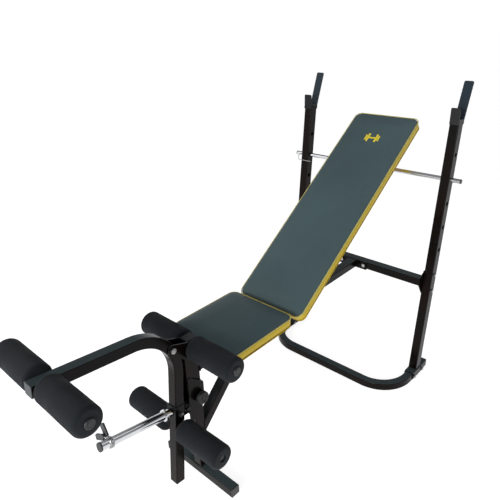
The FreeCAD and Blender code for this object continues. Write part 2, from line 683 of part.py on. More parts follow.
for x, y in seat_points:
    shank = rod(x, y, f"{seat_bottom} - {{plate}} - 1", "{bolt_m6}", f"{{plate}} + 1 + {screw_depth}")
    head = hexagon(x, y, f"{seat_bottom} - {{plate}} - 4", "{bolt_m6} * 1.85", "4")
    seat_screws.append(fuse(shank, head))
keep(group(*seat_screws), "seat_screws")

# ================================================================ backrest
# Built about its hinge: local Y runs up the rails, and local Z leaves the pad. The rails lie
# on the support bar, which sets the angle.
bar_y, bar_z = leaned(bar_level, "{upright_deep} / 2")
run = f"({bar_y}) - {{hinge_y}}"
climb = f"({bar_z}) - ({hinge_z})"
rail_rest = "{rail_deep} / 2 + {support_radius} + {gap}"
back_angle = f"atan2({climb}; {run}) + asin(({rail_rest}) / sqrt(({run}) ^ 2 + ({climb}) ^ 2))"


def on_hinge(obj):
    return place(obj, "0", "{hinge_y}", hinge_z, (1, 0, 0), back_angle)


for name, side in (("left", -1), ("right", 1)):
    middle = f"{side} * ({{rail_gap}} + {{rail_wide}} / 2)"
    tube = straight_tube("{rail_wide}", "{rail_deep}", "{rail_length}", "XZ_Plane", middle, "0",
                         "-{rail_length}")
    face = f"{middle} - {{rail_wide}} / 2"
    boss = rod(face, "0", "0", "{rail_deep} / 2", "{rail_wide}", "x")
    core = rod(f"{face} + {{wall}}", "0", "0", "{rail_deep} / 2 - {wall}", "{rail_wide} - 2 * {wall}", "x")
    bore = rod(f"{face} - 1", "0", "0", "{bolt_m10} + {fit}", "{rail_wide} + 2", "x")
    bolts = [hole(middle, f"{{rail_length}} * {k}", "-{rail_deep}", "{bolt_m6}", "2 * {rail_deep}", "z")
             for k in (0.2, 0.9)]
    keep(on_hinge(cut(fuse(tube, boss), core, bore, *bolts)), "backrest_rail_" + name)
keep(on_hinge(group(*[square_cap("{rail_wide}", "{rail_deep}", "{cap_lip}",
                                 f"{side} * ({{rail_gap}} + {{rail_wide}} / 2)", "{rail_length}", "0", "+y")
                      for side in (1, -1)])), "backrest_rail_caps")
back_pad = cut(upholstery("-{pad_half} - 2", "{pad_half} + 2", "{back_start}", "{back_length}",
                          "{pad_thick}"),
               board("{back_start}", "{back_length}", "{fit}"))
place(back_pad, "0", "0", "{rail_deep} / 2")
keep(on_hinge(group(back_pad)), "backrest_pad")
back_points = [(f"{side} * ({{rail_gap}} + {{rail_wide}} / 2)", f"{{rail_length}} * {k}")
               for side in (1, -1) for k in (0.2, 0.9)]
back_holes = [rod(x, y, "-1", "{bolt_m6} + {fit}", f"{screw_depth} + 1") for x, y in back_points]
back_board = place(cut(board("{back_start}", "{back_length}"), *back_holes), "0", "0", "{rail_deep} / 2")
keep(on_hinge(group(back_board)), "backrest_board")
back_screws = []
for x, y in back_points:
    shank = rod(x, y, "-{rail_deep} / 2 - 1", "{bolt_m6}", f"{{rail_deep}} + 1 + {screw_depth}")
    head = hexagon(x, y, "-{rail_deep} / 2 - 4", "{bolt_m6} * 1.85", "4")
    back_screws.append(fuse(shank, head))
keep(on_hinge(group(*back_screws)), "backrest_screws")

# The hinge bolt runs through both rails, two spacers and the beam.
hinge_half = "{rail_gap} + {rail_wide} + {gap}"
keep(bolt(f"-({hinge_half})", "{hinge_y}", hinge_z, "{bolt_m10}", f"2 * ({hinge_half})", "x"), "hinge_bolt")
spacers = []
for side in (1, -1):
    start = "{beam_wide} / 2" if side > 0 else "-{rail_gap} + {gap}"
    length = "{rail_gap} - {gap} - {beam_wide} / 2"
    spacers.append(cut(rod(start, "{hinge_y}", hinge_z, "{bolt_m10} * 1.7", length, "x"),
                       rod(f"{start} - 1", "{hinge_y}", hinge_z, "{bolt_m10} + {fit}", f"{length} + 2", "x")))
keep(group(*spacers), "hinge_spacers")

# ================================================================ support bar
support_half = "({base_width} / 2 + {support_out})"
support = cut(rod(f"-{support_half}", bar_y, bar_z, "{support_radius}", f"2 * {support_half}", "x"),
              rod(f"-{support_half} - 1", bar_y, bar_z, "{support_radius} - {wall}",
                  f"2 * {support_half} + 2", "x"))
clip_x = "-{base_width} / 2 - 10"
clip_wire = "1.5"
clip_hole = rod(clip_x, f"{bar_y} - 20", bar_z, f"{clip_wire} + {{fit}}", "40", "y")
keep(cut(support, clip_hole), "support_bar")
bar_caps = []
for side in (1, -1):
    lip = support_half if side > 0 else f"-{support_half} - 3"
    stem = f"{support_half} - 12" if side > 0 else f"-{support_half}"
    bar_caps.append(fuse(rod(lip, bar_y, bar_z, "{support_radius}", "3", "x"),
                         rod(stem, bar_y, bar_z, "{support_radius} - {wall} - {fit}", "12", "x")))
keep(group(*bar_caps), "support_bar_caps")


def wire_path(points, radius, bends):
    """A round wire along straight runs joined by arcs of one bend radius."""
    vectors = [FreeCAD.Vector(*point) for point in points]
    edges = []
    start = vectors[0]
    for before, here, after in zip(vectors, vectors[1:], vectors[2:]):
        back = (before - here).normalize()
        ahead = (after - here).normalize()
        half_turn = back.getAngle(ahead) / 2
        cut_back = bends / math.tan(half_turn)
        entry = here + back * cut_back
        leave = here + ahead * cut_back
        middle = here + (back + ahead).normalize() * (bends / math.sin(half_turn) - bends)
        edges.append(Part.LineSegment(start, entry).toShape())
        edges.append(Part.Arc(entry, middle, leave).toShape())
        start = leave
    edges.append(Part.LineSegment(start, vectors[-1]).toShape())
    path = Part.Wire(edges)
    heading = (vectors[1] - vectors[0]).normalize()
    section = Part.Wire([Part.makeCircle(radius, vectors[0], heading)])
    return path.makePipeShell([section], True, False)


# The wire clip goes through the bar outside the left upright, turns down and crosses in
# front of the tube, so the bar can't wander.
clip_front_y = value(f"{bar_y} - 20 * sin({{upright_lean}}) - {{upright_deep}} / 2 - 4")
clip = doc.addObject("Part::Feature", "clip")
bar_height = value(bar_z)
clip_out = value(clip_x)
clip_in = value(upright_inner) - 18
clip.Shape = wire_path([(clip_out, value(bar_y) + 16, bar_height), (clip_out, clip_front_y, bar_height),
                        (clip_out, clip_front_y - 1, bar_height - 20),
                        (-clip_in, clip_front_y - 1, bar_height - 20)], float(clip_wire), 4.0)
keep(clip, "support_bar_clip")


# ================================================================ leg lever
# Built about its pivot with the leg upright: local -Y is forward. Its rest angle then swings
# the leg's foot forward and the arm's end up.
def on_pivot(obj):
    return place(obj, "0", "{pivot_y}", "{pivot_z}", (1, 0, 0), "-{rest_angle}")


bend_y = "{leg_back} - {lever_bend}"
bend_z = "{arm_rise} - {lever_bend}"
lever = new_body()
leg = new_sketch(lever, "XY_Plane", offset="-{leg_drop}")
tube_outline(leg, "0", "{leg_back}", "{lever_side}", "{lever_side}")
pad(lever, leg, f"{{leg_drop}} + ({bend_z})")
elbow = new_sketch(lever, "XY_Plane", y=bend_y, offset=bend_z)
tube_outline(elbow, "0", "{lever_bend}", "{lever_side}", "{lever_side}")
revolve(lever, elbow, "H_Axis", 90)
arm = new_sketch(lever, "XZ_Plane", offset=f"-({bend_y})")
tube_outline(arm, "0", "{arm_rise}", "{lever_side}", "{lever_side}")
pad(lever, arm, f"{{arm_reach}} + ({bend_y})")
lever_holes = [
    rod("-{lever_side}", "0", "0", "{bolt_m10} * 1.6 + {fit}", "2 * {lever_side}", "x"),
    rod("-{lever_side}", "{leg_back}", "-{lower_rod_drop}", "{rod_radius} + {fit}", "2 * {lever_side}", "x"),
    rod("-{lever_side}", "-{front_rod_reach}", "{arm_rise}", "{rod_radius} + {fit}", "2 * {lever_side}", "x"),
    hole("-{lever_side}", "{leg_back}", "-{peg_drop} - 8", "{bolt_m8}", "2 * {lever_side}", "x"),
]
keep(on_pivot(cut(lever, *lever_holes)), "leg_lever")
keep(on_pivot(group(square_cap("{lever_side}", "{lever_side}", "{cap_lip}",
                               "0", "-{arm_reach}", "{arm_rise}", "-y"),
                    square_cap("{lever_side}", "{lever_side}", "{cap_lip}",
                               "0", "{leg_back}", "-{leg_drop}", "-z"))), "lever_end_caps")
bush_half = "{lever_side} / 2 + {gap}"
keep(on_pivot(cut(rod(f"-({bush_half})", "0", "0", "{bolt_m10} * 1.6", f"2 * ({bush_half})", "x"),
                  rod(f"-({bush_half}) - 1", "0", "0", "{bolt_m10} + {fit}", f"2 * ({bush_half}) + 2", "x"))),
     "pivot_bush")

# ================================================================ weight peg
leg_front = "{leg_back} - {lever_side} / 2"
saddle_in = "{lever_side} / 2 + {fit}"
peg_bolt_z = "-{peg_drop} - 8"
outer = box(f"-({saddle_in}) - {{plate}}", f"{leg_front} - {{fit}} - {{plate}}", f"{peg_bolt_z} - 27",
            f"2 * ({saddle_in} + {{plate}})", "{plate} + 30", "54")
inner = box(f"-({saddle_in})", f"{leg_front} - {{fit}}", f"{peg_bolt_z} - 28", f"2 * ({saddle_in})",
            "40", "56")
keep(on_pivot(cut(outer, inner, hole("-{lever_side}", "{leg_back}", peg_bolt_z, "{bolt_m8}",
                                     "2 * {lever_side}", "x"))), "peg_saddle")
saddle_out = f"{saddle_in} + {{plate}}"
keep(on_pivot(group(bolt(f"-({saddle_out})", "{leg_back}", peg_bolt_z, "{bolt_m8}",
                         f"2 * ({saddle_out})", "x", head_first=False))), "peg_saddle_bolt")

# The peg rises a little, so that plates stay on it. It is welded to the saddle's face.
peg_root = f"{leg_front} - {{fit}} - {{plate}}"
peg_length = f"{{peg_reach}} + ({peg_root})"


def on_peg(obj):
    """Local +Z runs along the peg from the saddle's face."""
    return place(obj, "0", peg_root, "-{peg_drop}", (1, 0, 0), "90 - {peg_tilt}")


tube = rod("0", "0", "-3", "{peg_radius}", f"{peg_length} + 3")
ring = rod("0", "0", "24", "{peg_radius} + 4.5", "4")
bore = rod("0", "0", "-4", "{peg_radius} - {wall}", f"{peg_length} + 8")
peg_solid = on_peg(cut(fuse(tube, ring), bore))
behind = box("-40", peg_root, "-{peg_drop} - 60", "80", "60", "120")
keep(on_pivot(cut(peg_solid, behind)), "weight_peg")
cap_lip_solid = rod("0", "0", peg_length, "{peg_radius} + 0.5", "4")
cap_stem = rod("0", "0", f"{peg_length} - 14", "{peg_radius} - {wall} - {fit}", "14")
keep(on_pivot(group(on_peg(fuse(cap_lip_solid, cap_stem)))), "peg_end_cap")

# A spring collar grips the peg: three turns of wire whose two ends stand up in plastic grips.
pitch = value("{collar_wire}") * 2.15
turn_radius = value("{peg_radius} + {fit} + {collar_wire}")
turns = 2.7
helix = Part.makeHelix(pitch, pitch * turns, turn_radius)
section = Part.Wire([Part.makeCircle(value("{collar_wire}"), FreeCAD.Vector(turn_radius, 0, 0),
                                     FreeCAD.Vector(0, 1, 0))])
coil = Part.Wire(helix.Edges).makePipeShell([section], True, True)
grip_wide = 17.0
grip_thick = 7.0
grip_long = 38.0
arms = []
grips = []
for angle, height in ((0.0, 0.0), (360.0 * turns, pitch * turns)):
    a = math.radians(angle)
    start = FreeCAD.Vector(turn_radius * math.cos(a), turn_radius * math.sin(a), height)
    sense = -1 if angle == 0.0 else 1
    heading = FreeCAD.Vector(-sense * math.sin(a), sense * math.cos(a), 0)
    arms.append(Part.makeCylinder(value("{collar_wire}"), 40.0, start, heading))
    block = Part.makeBox(grip_long, grip_wide, grip_thick)
    block.translate(FreeCAD.Vector(0, -grip_wide / 2, -grip_thick / 2))
    block = block.makeFillet(5.0, [e for e in block.Edges if abs(e.Length - grip_thick) < 1e-6])
    block = block.makeChamfer(1.2, [e for e in block.Edges if all(abs(abs(v.Z) - grip_thick / 2) < 1e-6
                                                                 for v in e.Vertexes)])
    block.Placement = FreeCAD.Placement(start + heading * 16.0,
                                        FreeCAD.Rotation(FreeCAD.Vector(1, 0, 0), heading))
    hollow = Part.makeCylinder(value("{collar_wire} + {fit}"), 25.2, start + heading * 15.0, heading)
    grips.append(block.cut(hollow))
clip_turn = FreeCAD.Rotation(FreeCAD.Vector(0, 0, 1), 225.0)
spring = doc.addObject("Part::Feature", "spring")
spring.Shape = coil.fuse(arms).removeSplitter()
handles = doc.addObject("Part::Feature", "handles")
handles.Shape = Part.makeCompound(grips)
for item in (spring, handles):
    item.Placement = FreeCAD.Placement(FreeCAD.Vector(0, 0, 0), clip_turn)
for item, label in ((spring, "collar_spring"), (handles, "collar_grips")):
    seated = place(group(item), "0", peg_root, "-{peg_drop}", (1, 0, 0), "90 - {peg_tilt}")
    lifted = group(item)
    place(lifted, "0", "0", "{collar_at}")
    seated.Links = [lifted]
    keep(on_pivot(group(seated)), label)


# ================================================================ rollers
def roller_rod():
    return cut(rod("-{rod_half}", "0", "0", "{rod_radius}", "2 * {rod_half}", "x"),
               rod("-{rod_half} - 1", "0", "0", "{rod_radius} - {wall}", "2 * {rod_half} + 2", "x"))


def rod_caps(lip_radius):
    caps = []
    for side in (1, -1):
        lip = "{rod_half}" if side > 0 else "-{rod_half} - 3"
        stem = "{rod_half} - 15" if side > 0 else "-{rod_half}"
        caps.append(fuse(rod(lip, "0", "0", lip_radius, "3", "x"),
                         rod(stem, "0", "0", "{rod_radius} - {wall} - {fit}", "15", "x")))
    return caps


def foam(side, start):
    """A foam sleeve with a soft outer rim at both ends."""
    body = new_body()
    outline = new_sketch(body, "YZ_Plane", offset=start if side > 0 else f"-({start}) - {{foam_length}}")
    circle(outline, "0", "0", "{foam_radius}")
    pad(body, outline, "{foam_length}")
    doc.recompute()
    soften(body, "5.0", lambda edge: len(edge.Vertexes) == 1)
    return cut(body, rod("-{rod_half} - 30", "0", "0", "{rod_radius} + {fit}", "2 * {rod_half} + 60", "x"))


foam_in = "{rod_half} - {gap} - {foam_length}"
for label, inner_end, mount in (("upper", foam_in, None),
                                ("lower", "{lower_foam_out}", ("{leg_back}", "-{lower_rod_drop}")),
                                ("front", foam_in, ("-{front_rod_reach}", "{arm_rise}"))):
    pieces = [(roller_rod(), label + "_roller_rod")]
    for name, side in (("left", -1), ("right", 1)):
        pieces.append((foam(side, inner_end), f"{label}_roller_{name}"))
    for solid, name in pieces:
        if mount is None:
            keep(place(solid, "0", post_mid_y, "{upper_rod_z}"), name)
        else:
            place(solid, "0", *mount)
            keep(on_pivot(group(solid)), name)
cap_radius = "{rod_radius} + 1.5"
keep(place(group(*rod_caps(cap_radius)), "0", post_mid_y, "{upper_rod_z}"), "upper_rod_caps")
lower_caps = place(group(*rod_caps("{rod_radius}")), "0", "{leg_back}", "-{lower_rod_drop}")
front_caps = place(group(*rod_caps(cap_radius)), "0", "-{front_rod_reach}", "{arm_rise}")
keep(on_pivot(group(lower_caps, front_caps)), "lever_rod_caps")

# ================================================================ checks and files
doc.recompute()
failed = [item for item in doc.Objects if "Invalid" in item.State or "Error" in item.State]
if failed:
    names = ["%s (%s) in %s" % (item.Label, item.TypeId, [user.Label for user in item.InList])
             for item in failed]
    raise RuntimeError("failed features: " + "; ".join(names))
os.makedirs("parts", exist_ok=True)
for part in parts:
    shape = part.Shape
    if shape.isNull() or not shape.isValid() or not shape.Solids:
        raise RuntimeError("bad shape: " + part.Label)
    shape.exportStep("parts/%s.step" % part.Label)
print(len(parts), "parts written")
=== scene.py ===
import json
import math

import bmesh
import bpy
from mathutils import Matrix, Vector

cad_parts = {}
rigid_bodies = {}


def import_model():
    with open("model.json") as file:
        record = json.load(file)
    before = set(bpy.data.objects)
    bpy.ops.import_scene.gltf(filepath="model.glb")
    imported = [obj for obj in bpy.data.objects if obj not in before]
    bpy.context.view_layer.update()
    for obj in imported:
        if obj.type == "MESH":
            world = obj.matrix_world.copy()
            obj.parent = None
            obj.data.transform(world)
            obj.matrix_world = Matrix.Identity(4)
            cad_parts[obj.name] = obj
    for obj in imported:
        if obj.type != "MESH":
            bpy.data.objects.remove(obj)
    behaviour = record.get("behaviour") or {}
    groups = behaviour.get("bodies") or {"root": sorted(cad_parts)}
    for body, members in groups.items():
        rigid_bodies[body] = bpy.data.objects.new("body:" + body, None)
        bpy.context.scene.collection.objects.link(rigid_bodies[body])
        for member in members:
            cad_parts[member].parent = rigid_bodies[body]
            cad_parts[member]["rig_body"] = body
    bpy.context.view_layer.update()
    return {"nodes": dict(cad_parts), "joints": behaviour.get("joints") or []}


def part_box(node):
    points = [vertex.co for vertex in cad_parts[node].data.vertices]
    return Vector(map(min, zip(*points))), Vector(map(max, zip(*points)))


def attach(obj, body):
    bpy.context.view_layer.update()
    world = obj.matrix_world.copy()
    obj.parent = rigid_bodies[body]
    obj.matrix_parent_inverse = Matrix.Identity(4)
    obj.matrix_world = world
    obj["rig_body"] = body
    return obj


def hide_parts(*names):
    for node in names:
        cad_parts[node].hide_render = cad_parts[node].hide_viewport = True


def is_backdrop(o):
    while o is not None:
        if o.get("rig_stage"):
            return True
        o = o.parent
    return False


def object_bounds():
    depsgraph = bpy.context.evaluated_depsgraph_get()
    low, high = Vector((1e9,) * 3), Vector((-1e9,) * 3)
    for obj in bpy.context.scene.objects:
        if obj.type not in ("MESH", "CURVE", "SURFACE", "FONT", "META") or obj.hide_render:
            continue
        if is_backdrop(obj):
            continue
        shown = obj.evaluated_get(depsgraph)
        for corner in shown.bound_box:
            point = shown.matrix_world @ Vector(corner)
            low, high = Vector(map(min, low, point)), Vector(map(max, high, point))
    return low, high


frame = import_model()
nodes = frame["nodes"]
scene = bpy.context.scene

# ---------------------------------------------------------------- the room
# A white light-table floor that runs to the horizon under a surround that is white low down
# and dims overhead. A low soft lamp faces the pads, and two more stand above and to the left.
CAMERA_AT = (0.9507, -1.0585, 1.3394)
CAMERA_YAW, CAMERA_PITCH, CAMERA_ROLL = 43.31, -25.15, -2.21
CAMERA_LENS = 36.46


def linear(hex_colour):
    """An sRGB hex colour as linear red, green, blue and alpha."""
    channels = [int(hex_colour[i:i + 2], 16) / 255 for i in (1, 3, 5)]
    return [c / 12.92 if c <= 0.04045 else ((c + 0.055) / 1.055) ** 2.4 for c in channels] + [1.0]


def node(tree, kind, inputs=None, **settings):
    """Adds a node with its settings; inputs holds plain values and other nodes' outputs."""
    made = tree.nodes.new(kind)
    for name, setting in settings.items():
        setattr(made, name, setting)
    for socket, value in (inputs or {}).items():
        if isinstance(value, bpy.types.NodeSocket):
            tree.links.new(value, made.inputs[socket])
        else:
            made.inputs[socket].default_value = value
    return made


def new_finish(name, **inputs):
    """A material with one glossy surface: returns it, its node tree, the surface and the
    object's own coordinates in metres. An underscore in an input's name stands for a space."""
    material = bpy.data.materials.new(name)
    material.use_nodes = True
    tree = material.node_tree
    tree.nodes.clear()
    surface = node(tree, "ShaderNodeBsdfPrincipled", {k.replace("_", " "): v for k, v in inputs.items()})
    node(tree, "ShaderNodeOutputMaterial", {"Surface": surface.outputs[0]})
    return material, tree, surface, node(tree, "ShaderNodeTexCoord").outputs["Object"]


def deselect():
    if bpy.context.mode != "OBJECT":
        bpy.ops.object.mode_set(mode="OBJECT")
    bpy.ops.object.select_all(action="DESELECT")


camera_data = bpy.data.cameras.new("view")
camera_data.sensor_width = 36
camera_data.lens = CAMERA_LENS
camera_data.clip_end = 200
camera = bpy.data.objects.new("view", camera_data)
scene.collection.objects.link(camera)
camera.matrix_world = (Matrix.Translation(CAMERA_AT)
                       @ Matrix.Rotation(math.radians(CAMERA_YAW), 4, "Z")
                       @ Matrix.Rotation(math.radians(90 + CAMERA_PITCH), 4, "X")
                       @ Matrix.Rotation(math.radians(CAMERA_ROLL), 4, "Z"))
scene.camera = camera
scene.view_settings.view_transform = "Standard"

world = bpy.data.worlds.new("studio")
scene.world = world
world.use_nodes = True
sky = world.node_tree
background = sky.nodes["Background"]
background.inputs["Color"].default_value = linear("#fbfcff")
direction = node(sky, "ShaderNodeTexCoord").outputs["Generated"]
height = node(sky, "ShaderNodeSeparateXYZ", {"Vector": direction}).outputs["Z"]
dimmed = node(sky, "ShaderNodeMapRange", {0: height, 1: 0.04, 2: 0.34, 3: 1.12, 4: 0.30})
sky.links.new(dimmed.outputs[0], background.inputs["Strength"])

lamps = (("key", (0.6, -3.6, 1.5), 1.6, 118), ("top", (0.6, 1.6, 3.6), 2.4, 10),
         ("side", (-2.4, -1.4, 2.6), 1.8, 12))
for lamp_name, lamp_at, lamp_size, lamp_power in lamps:
    deselect()
    bpy.ops.object.light_add(type="AREA", location=lamp_at)
    lamp = bpy.context.object
    lamp.name = lamp_name
    lamp.data.shape = "DISK"
    lamp.data.size = lamp_size
    lamp.data.energy = lamp_power
    lamp.rotation_euler = (Vector((0, 0.1, 0.5)) - Vector(lamp_at)).to_track_quat("-Z", "Y").to_euler()

deselect()
bpy.ops.mesh.primitive_circle_add(vertices=96, radius=60, fill_type="NGON", location=(0, 0, -0.0005))
floor = bpy.context.object
floor.name = "studio_floor"
bpy.ops.object.transform_apply(location=True, rotation=True, scale=True)
floor_finish, tree, surface, place = new_finish(
    "lit_white_acrylic_floor", Roughness=0.62, Emission_Color=linear("#ffffff"), Emission_Strength=0.82)
speckle = node(tree, "ShaderNodeTexNoise", {"Vector": place, "Scale": 1.4, "Detail": 4.0})
tone = node(tree, "ShaderNodeMix",
            {"Factor": speckle.outputs["Fac"], 6: linear("#b4b4b6"), 7: linear("#b9b9ba")}, data_type="RGBA")
tree.links.new(tone.outputs[2], surface.inputs["Base Color"])
floor.data.materials.append(floor_finish)
floor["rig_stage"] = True

# ---------------------------------------------------------------- steel frame
# Square and rectangular steel tube, cut, bent and welded, then coated with gloss black
# powder. The coat melts smooth with a faint orange peel and thins to brown on worn spots,
# and faces that look up are painted a pale blue-grey, a painted reflection of the sky.
BLACK_COAT = "#080706"
BROWN_COAT = "#1a0a08"
# pale blue-grey painted on faces that look up: a painted reflection of the sky
PAINTED_SKY_REFLECTION = "#3c4649"
ORANGE_PEEL = 0.0022

powder_coat, tree, surface, place = new_finish(
    "gloss_black_powder_coat", Roughness=0.27, Specular_IOR_Level=0.09)
patches = node(tree, "ShaderNodeTexNoise", {"Vector": place, "Scale": 7.0, "Detail": 3.0})
warm = node(tree, "ShaderNodeMapRange", {0: patches.outputs["Fac"], 1: 0.40, 2: 0.72, 3: 0.0, 4: 0.55})
tone = node(tree, "ShaderNodeMix", {"Factor": warm.outputs[0], 6: linear(BLACK_COAT), 7: linear(BROWN_COAT)},
            data_type="RGBA")
scuff = node(tree, "ShaderNodeTexNoise", {"Vector": place, "Scale": 38.0, "Detail": 6.0, "Roughness": 0.7})
worn = node(tree, "ShaderNodeMapRange", {0: scuff.outputs["Fac"], 1: 0.70, 2: 0.84, 3: 0.0, 4: 0.10})
scuffed = node(tree, "ShaderNodeMix", {"Factor": worn.outputs[0], 6: tone.outputs[2], 7: linear("#332d2b")},
               data_type="RGBA")
facing = node(tree, "ShaderNodeNewGeometry").outputs["Normal"]
upward = node(tree, "ShaderNodeSeparateXYZ", {"Vector": facing}).outputs["Z"]
# Painted reflection: faces that look up are mixed towards a pale blue-grey that stands in for the sky they
# reflect.
sky_reflection_mask = node(tree, "ShaderNodeMapRange", {0: upward, 1: 0.55, 2: 0.98, 3: 0.0, 4: 0.85})
sky_reflection_painted = node(tree, "ShaderNodeMix", {"Factor": sky_reflection_mask.outputs[0], 6: scuffed.outputs[2], 7: linear(PAINTED_SKY_REFLECTION)},
              data_type="RGBA")
tree.links.new(sky_reflection_painted.outputs[2], surface.inputs["Base Color"])
gloss = node(tree, "ShaderNodeMapRange", {0: scuff.outputs["Fac"], 1: 0.35, 2: 0.75, 3: 0.16, 4: 0.30})
tree.links.new(gloss.outputs[0], surface.inputs["Roughness"])
peel = node(tree, "ShaderNodeTexNoise", {"Vector": place, "Scale": 1 / ORANGE_PEEL, "Detail": 2.0})
relief = node(tree, "ShaderNodeBump", {"Height": peel.outputs["Fac"], "Strength": 0.12, "Distance": 0.0004})
tree.links.new(relief.outputs[0], surface.inputs["Normal"])


def coat(finish, *names):
    """Gives a finish to carried-over steel and plastic parts."""
    for name in names:
        for slot in nodes[name].material_slots:
            slot.material = finish


coat(powder_coat, "base_frame_tube", "upright_left", "upright_right", "upright_saddles", "rear_crossbar",
     "crossbar_end_plates", "main_beam", "beam_flange", "front_foot", "front_post", "front_brace",
     "pivot_bracket", "leg_lever", "peg_saddle", "seat_brackets", "backrest_rail_left",
     "backrest_rail_right", "clamp_bracket")

# ---------------------------------------------------------------- weld beads
# Where the front post, its foot, its brace, the main beam and the beam's flange meet, each
# joint is run round with a small fillet of weld under the black powder. The bead is an outline
# of the tube, given a round section and the slow ripple of a hand weld.
WELD_RADIUS = 0.0021
WELD_RIPPLE = 0.005
WELD_UNEVEN = 0.0016
TUBE_CORNER = 0.003


def loop_cord(name, width, length, corner, radius, place_at):
    """A round cord along a rectangle with rounded corners, centred on its place. The sides of a
    small loop are cut finely enough to take a ripple."""
    deselect()
    bpy.ops.mesh.primitive_plane_add(size=1)
    loop = bpy.context.object
    loop.name = name
    loop.scale = (width, length, 1)
    bpy.ops.object.transform_apply(location=False, rotation=False, scale=True)
    bpy.ops.object.mode_set(mode="EDIT")
    bpy.ops.mesh.select_all(action="SELECT")
    bpy.ops.mesh.bevel(offset=corner, offset_type="OFFSET", segments=9, affect="VERTICES")
    bpy.ops.mesh.select_all(action="SELECT")
    bpy.ops.mesh.delete(type="ONLY_FACE")
    bpy.ops.mesh.select_all(action="SELECT")
    long_side = max(width, length)
    small_cuts = max(1, int(long_side / max(radius * 6, 0.006)))
    bpy.ops.mesh.subdivide(number_cuts=small_cuts if long_side < 0.1 else 8)
    bpy.ops.object.mode_set(mode="OBJECT")
    bpy.ops.object.convert(target="CURVE")
    loop = bpy.context.object
    loop.data.dimensions = "3D"
    loop.data.bevel_depth = radius
    loop.data.bevel_resolution = 3
    bpy.ops.object.convert(target="MESH")
    loop = bpy.context.object
    loop.data.transform(place_at)
    bpy.ops.object.shade_smooth()
    return loop


def weld(name, body, width, length, place_at):
    bead = loop_cord(name, width, length, TUBE_CORNER, WELD_RADIUS, place_at)
    ripple = bpy.data.textures.new(name + "_ripple", "CLOUDS")
    ripple.noise_scale = WELD_RIPPLE
    wobble = bead.modifiers.new("ripple", "DISPLACE")
    wobble.texture = ripple
    wobble.texture_coords = "LOCAL"
    wobble.strength = WELD_UNEVEN
    bpy.ops.object.modifier_apply(modifier=wobble.name)
    bead.data.materials.append(powder_coat)
    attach(bead, body)


def along(axis, turn, *at):
    return Matrix.Translation(at) @ Matrix.Rotation(math.radians(turn), 4, axis)


post_low, post_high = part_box("front_post")
beam_low, beam_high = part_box("main_beam")
brace_low, brace_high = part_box("front_brace")
post_mid = (post_low[1] + post_high[1]) / 2
post_side = post_high[0] - post_low[0]
beam_wide, beam_tall = beam_high[0] - beam_low[0], beam_high[2] - beam_low[2]
beam_mid = (beam_low[2] + beam_high[2]) / 2
post_round = post_side + 0.001
beam_round = beam_wide + 0.001, beam_tall + 0.001
weld("weld_post_foot", "frame", post_round, post_round, along("X", 0, 0, post_mid, post_low[2]))
weld("weld_beam_post", "frame", *beam_round, along("X", 90, 0, beam_low[1], beam_mid))
weld("weld_beam_flange", "frame", *beam_round, along("X", 90, 0, beam_high[1], beam_mid))
brace_cut = post_side * math.sqrt(2)
weld("weld_brace_beam", "frame", post_round, brace_cut,
     along("X", 0, 0, brace_high[1] - brace_cut / 2, brace_high[2]))
weld("weld_brace_post", "frame", post_round, brace_cut,
     along("X", 90, 0, brace_low[1], brace_low[2] + brace_cut / 2))

# ---------------------------------------------------------------- bar holders
# Bent steel plate on top of each upright, in a blue-grey powder coat with a coarser grain
# than the tubes, so it reads as satin. The front lip is painted near-black as painted shade.
holder_coat, tree, surface, place = new_finish(
    "satin_blue_grey_powder_coat", Roughness=0.42, Specular_IOR_Level=0.25)
grain = node(tree, "ShaderNodeTexNoise", {"Vector": place, "Scale": 900.0, "Detail": 2.0})
cloud = node(tree, "ShaderNodeTexNoise", {"Vector": place, "Scale": 22.0, "Detail": 4.0})
tone = node(tree, "ShaderNodeMix",
            {"Factor": cloud.outputs["Fac"], 6: linear("#121e26"), 7: linear("#1b2a34")}, data_type="RGBA")
lip_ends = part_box("bar_holders")[0][1] + 0.010
depth = node(tree, "ShaderNodeSeparateXYZ", {"Vector": place}).outputs["Y"]
behind_lip = node(tree, "ShaderNodeMapRange", {0: depth, 1: lip_ends, 2: lip_ends + 0.006, 3: 0.0, 4: 1.0})
# Painted shade: the front lip is mixed to near-black for the dark its front face takes.
lip_painted_shade = node(tree, "ShaderNodeMix",
              {"Factor": behind_lip.outputs[0], 6: linear("#07080a"), 7: tone.outputs[2]}, data_type="RGBA")
tree.links.new(lip_painted_shade.outputs[2], surface.inputs["Base Color"])
relief = node(tree, "ShaderNodeBump", {"Height": grain.outputs["Fac"], "Strength": 0.25, "Distance": 0.0003})
tree.links.new(relief.outputs[0], surface.inputs["Normal"])
coat(holder_coat, "bar_holders")

# ---------------------------------------------------------------- plastic plugs and rubber
# Polyethylene plugs close the tube ends: satin black moulded plastic with a fine spark
# texture. The lever's plugs are the same moulding in dark grey.


def moulded(name, dark, light, roughness):
    made, tree, surface, place = new_finish(name, Roughness=roughness, IOR=1.49)
    spark = node(tree, "ShaderNodeTexNoise", {"Vector": place, "Scale": 1400.0, "Detail": 3.0})
    cloud = node(tree, "ShaderNodeTexNoise", {"Vector": place, "Scale": 45.0, "Detail": 3.0})
    tone = node(tree, "ShaderNodeMix", {"Factor": cloud.outputs["Fac"], 6: linear(dark), 7: linear(light)},
                data_type="RGBA")
    tree.links.new(tone.outputs[2], surface.inputs["Base Color"])
    relief = node(tree, "ShaderNodeBump",
                  {"Height": spark.outputs["Fac"], "Strength": 0.3, "Distance": 0.0002})
    tree.links.new(relief.outputs[0], surface.inputs["Normal"])
    return made


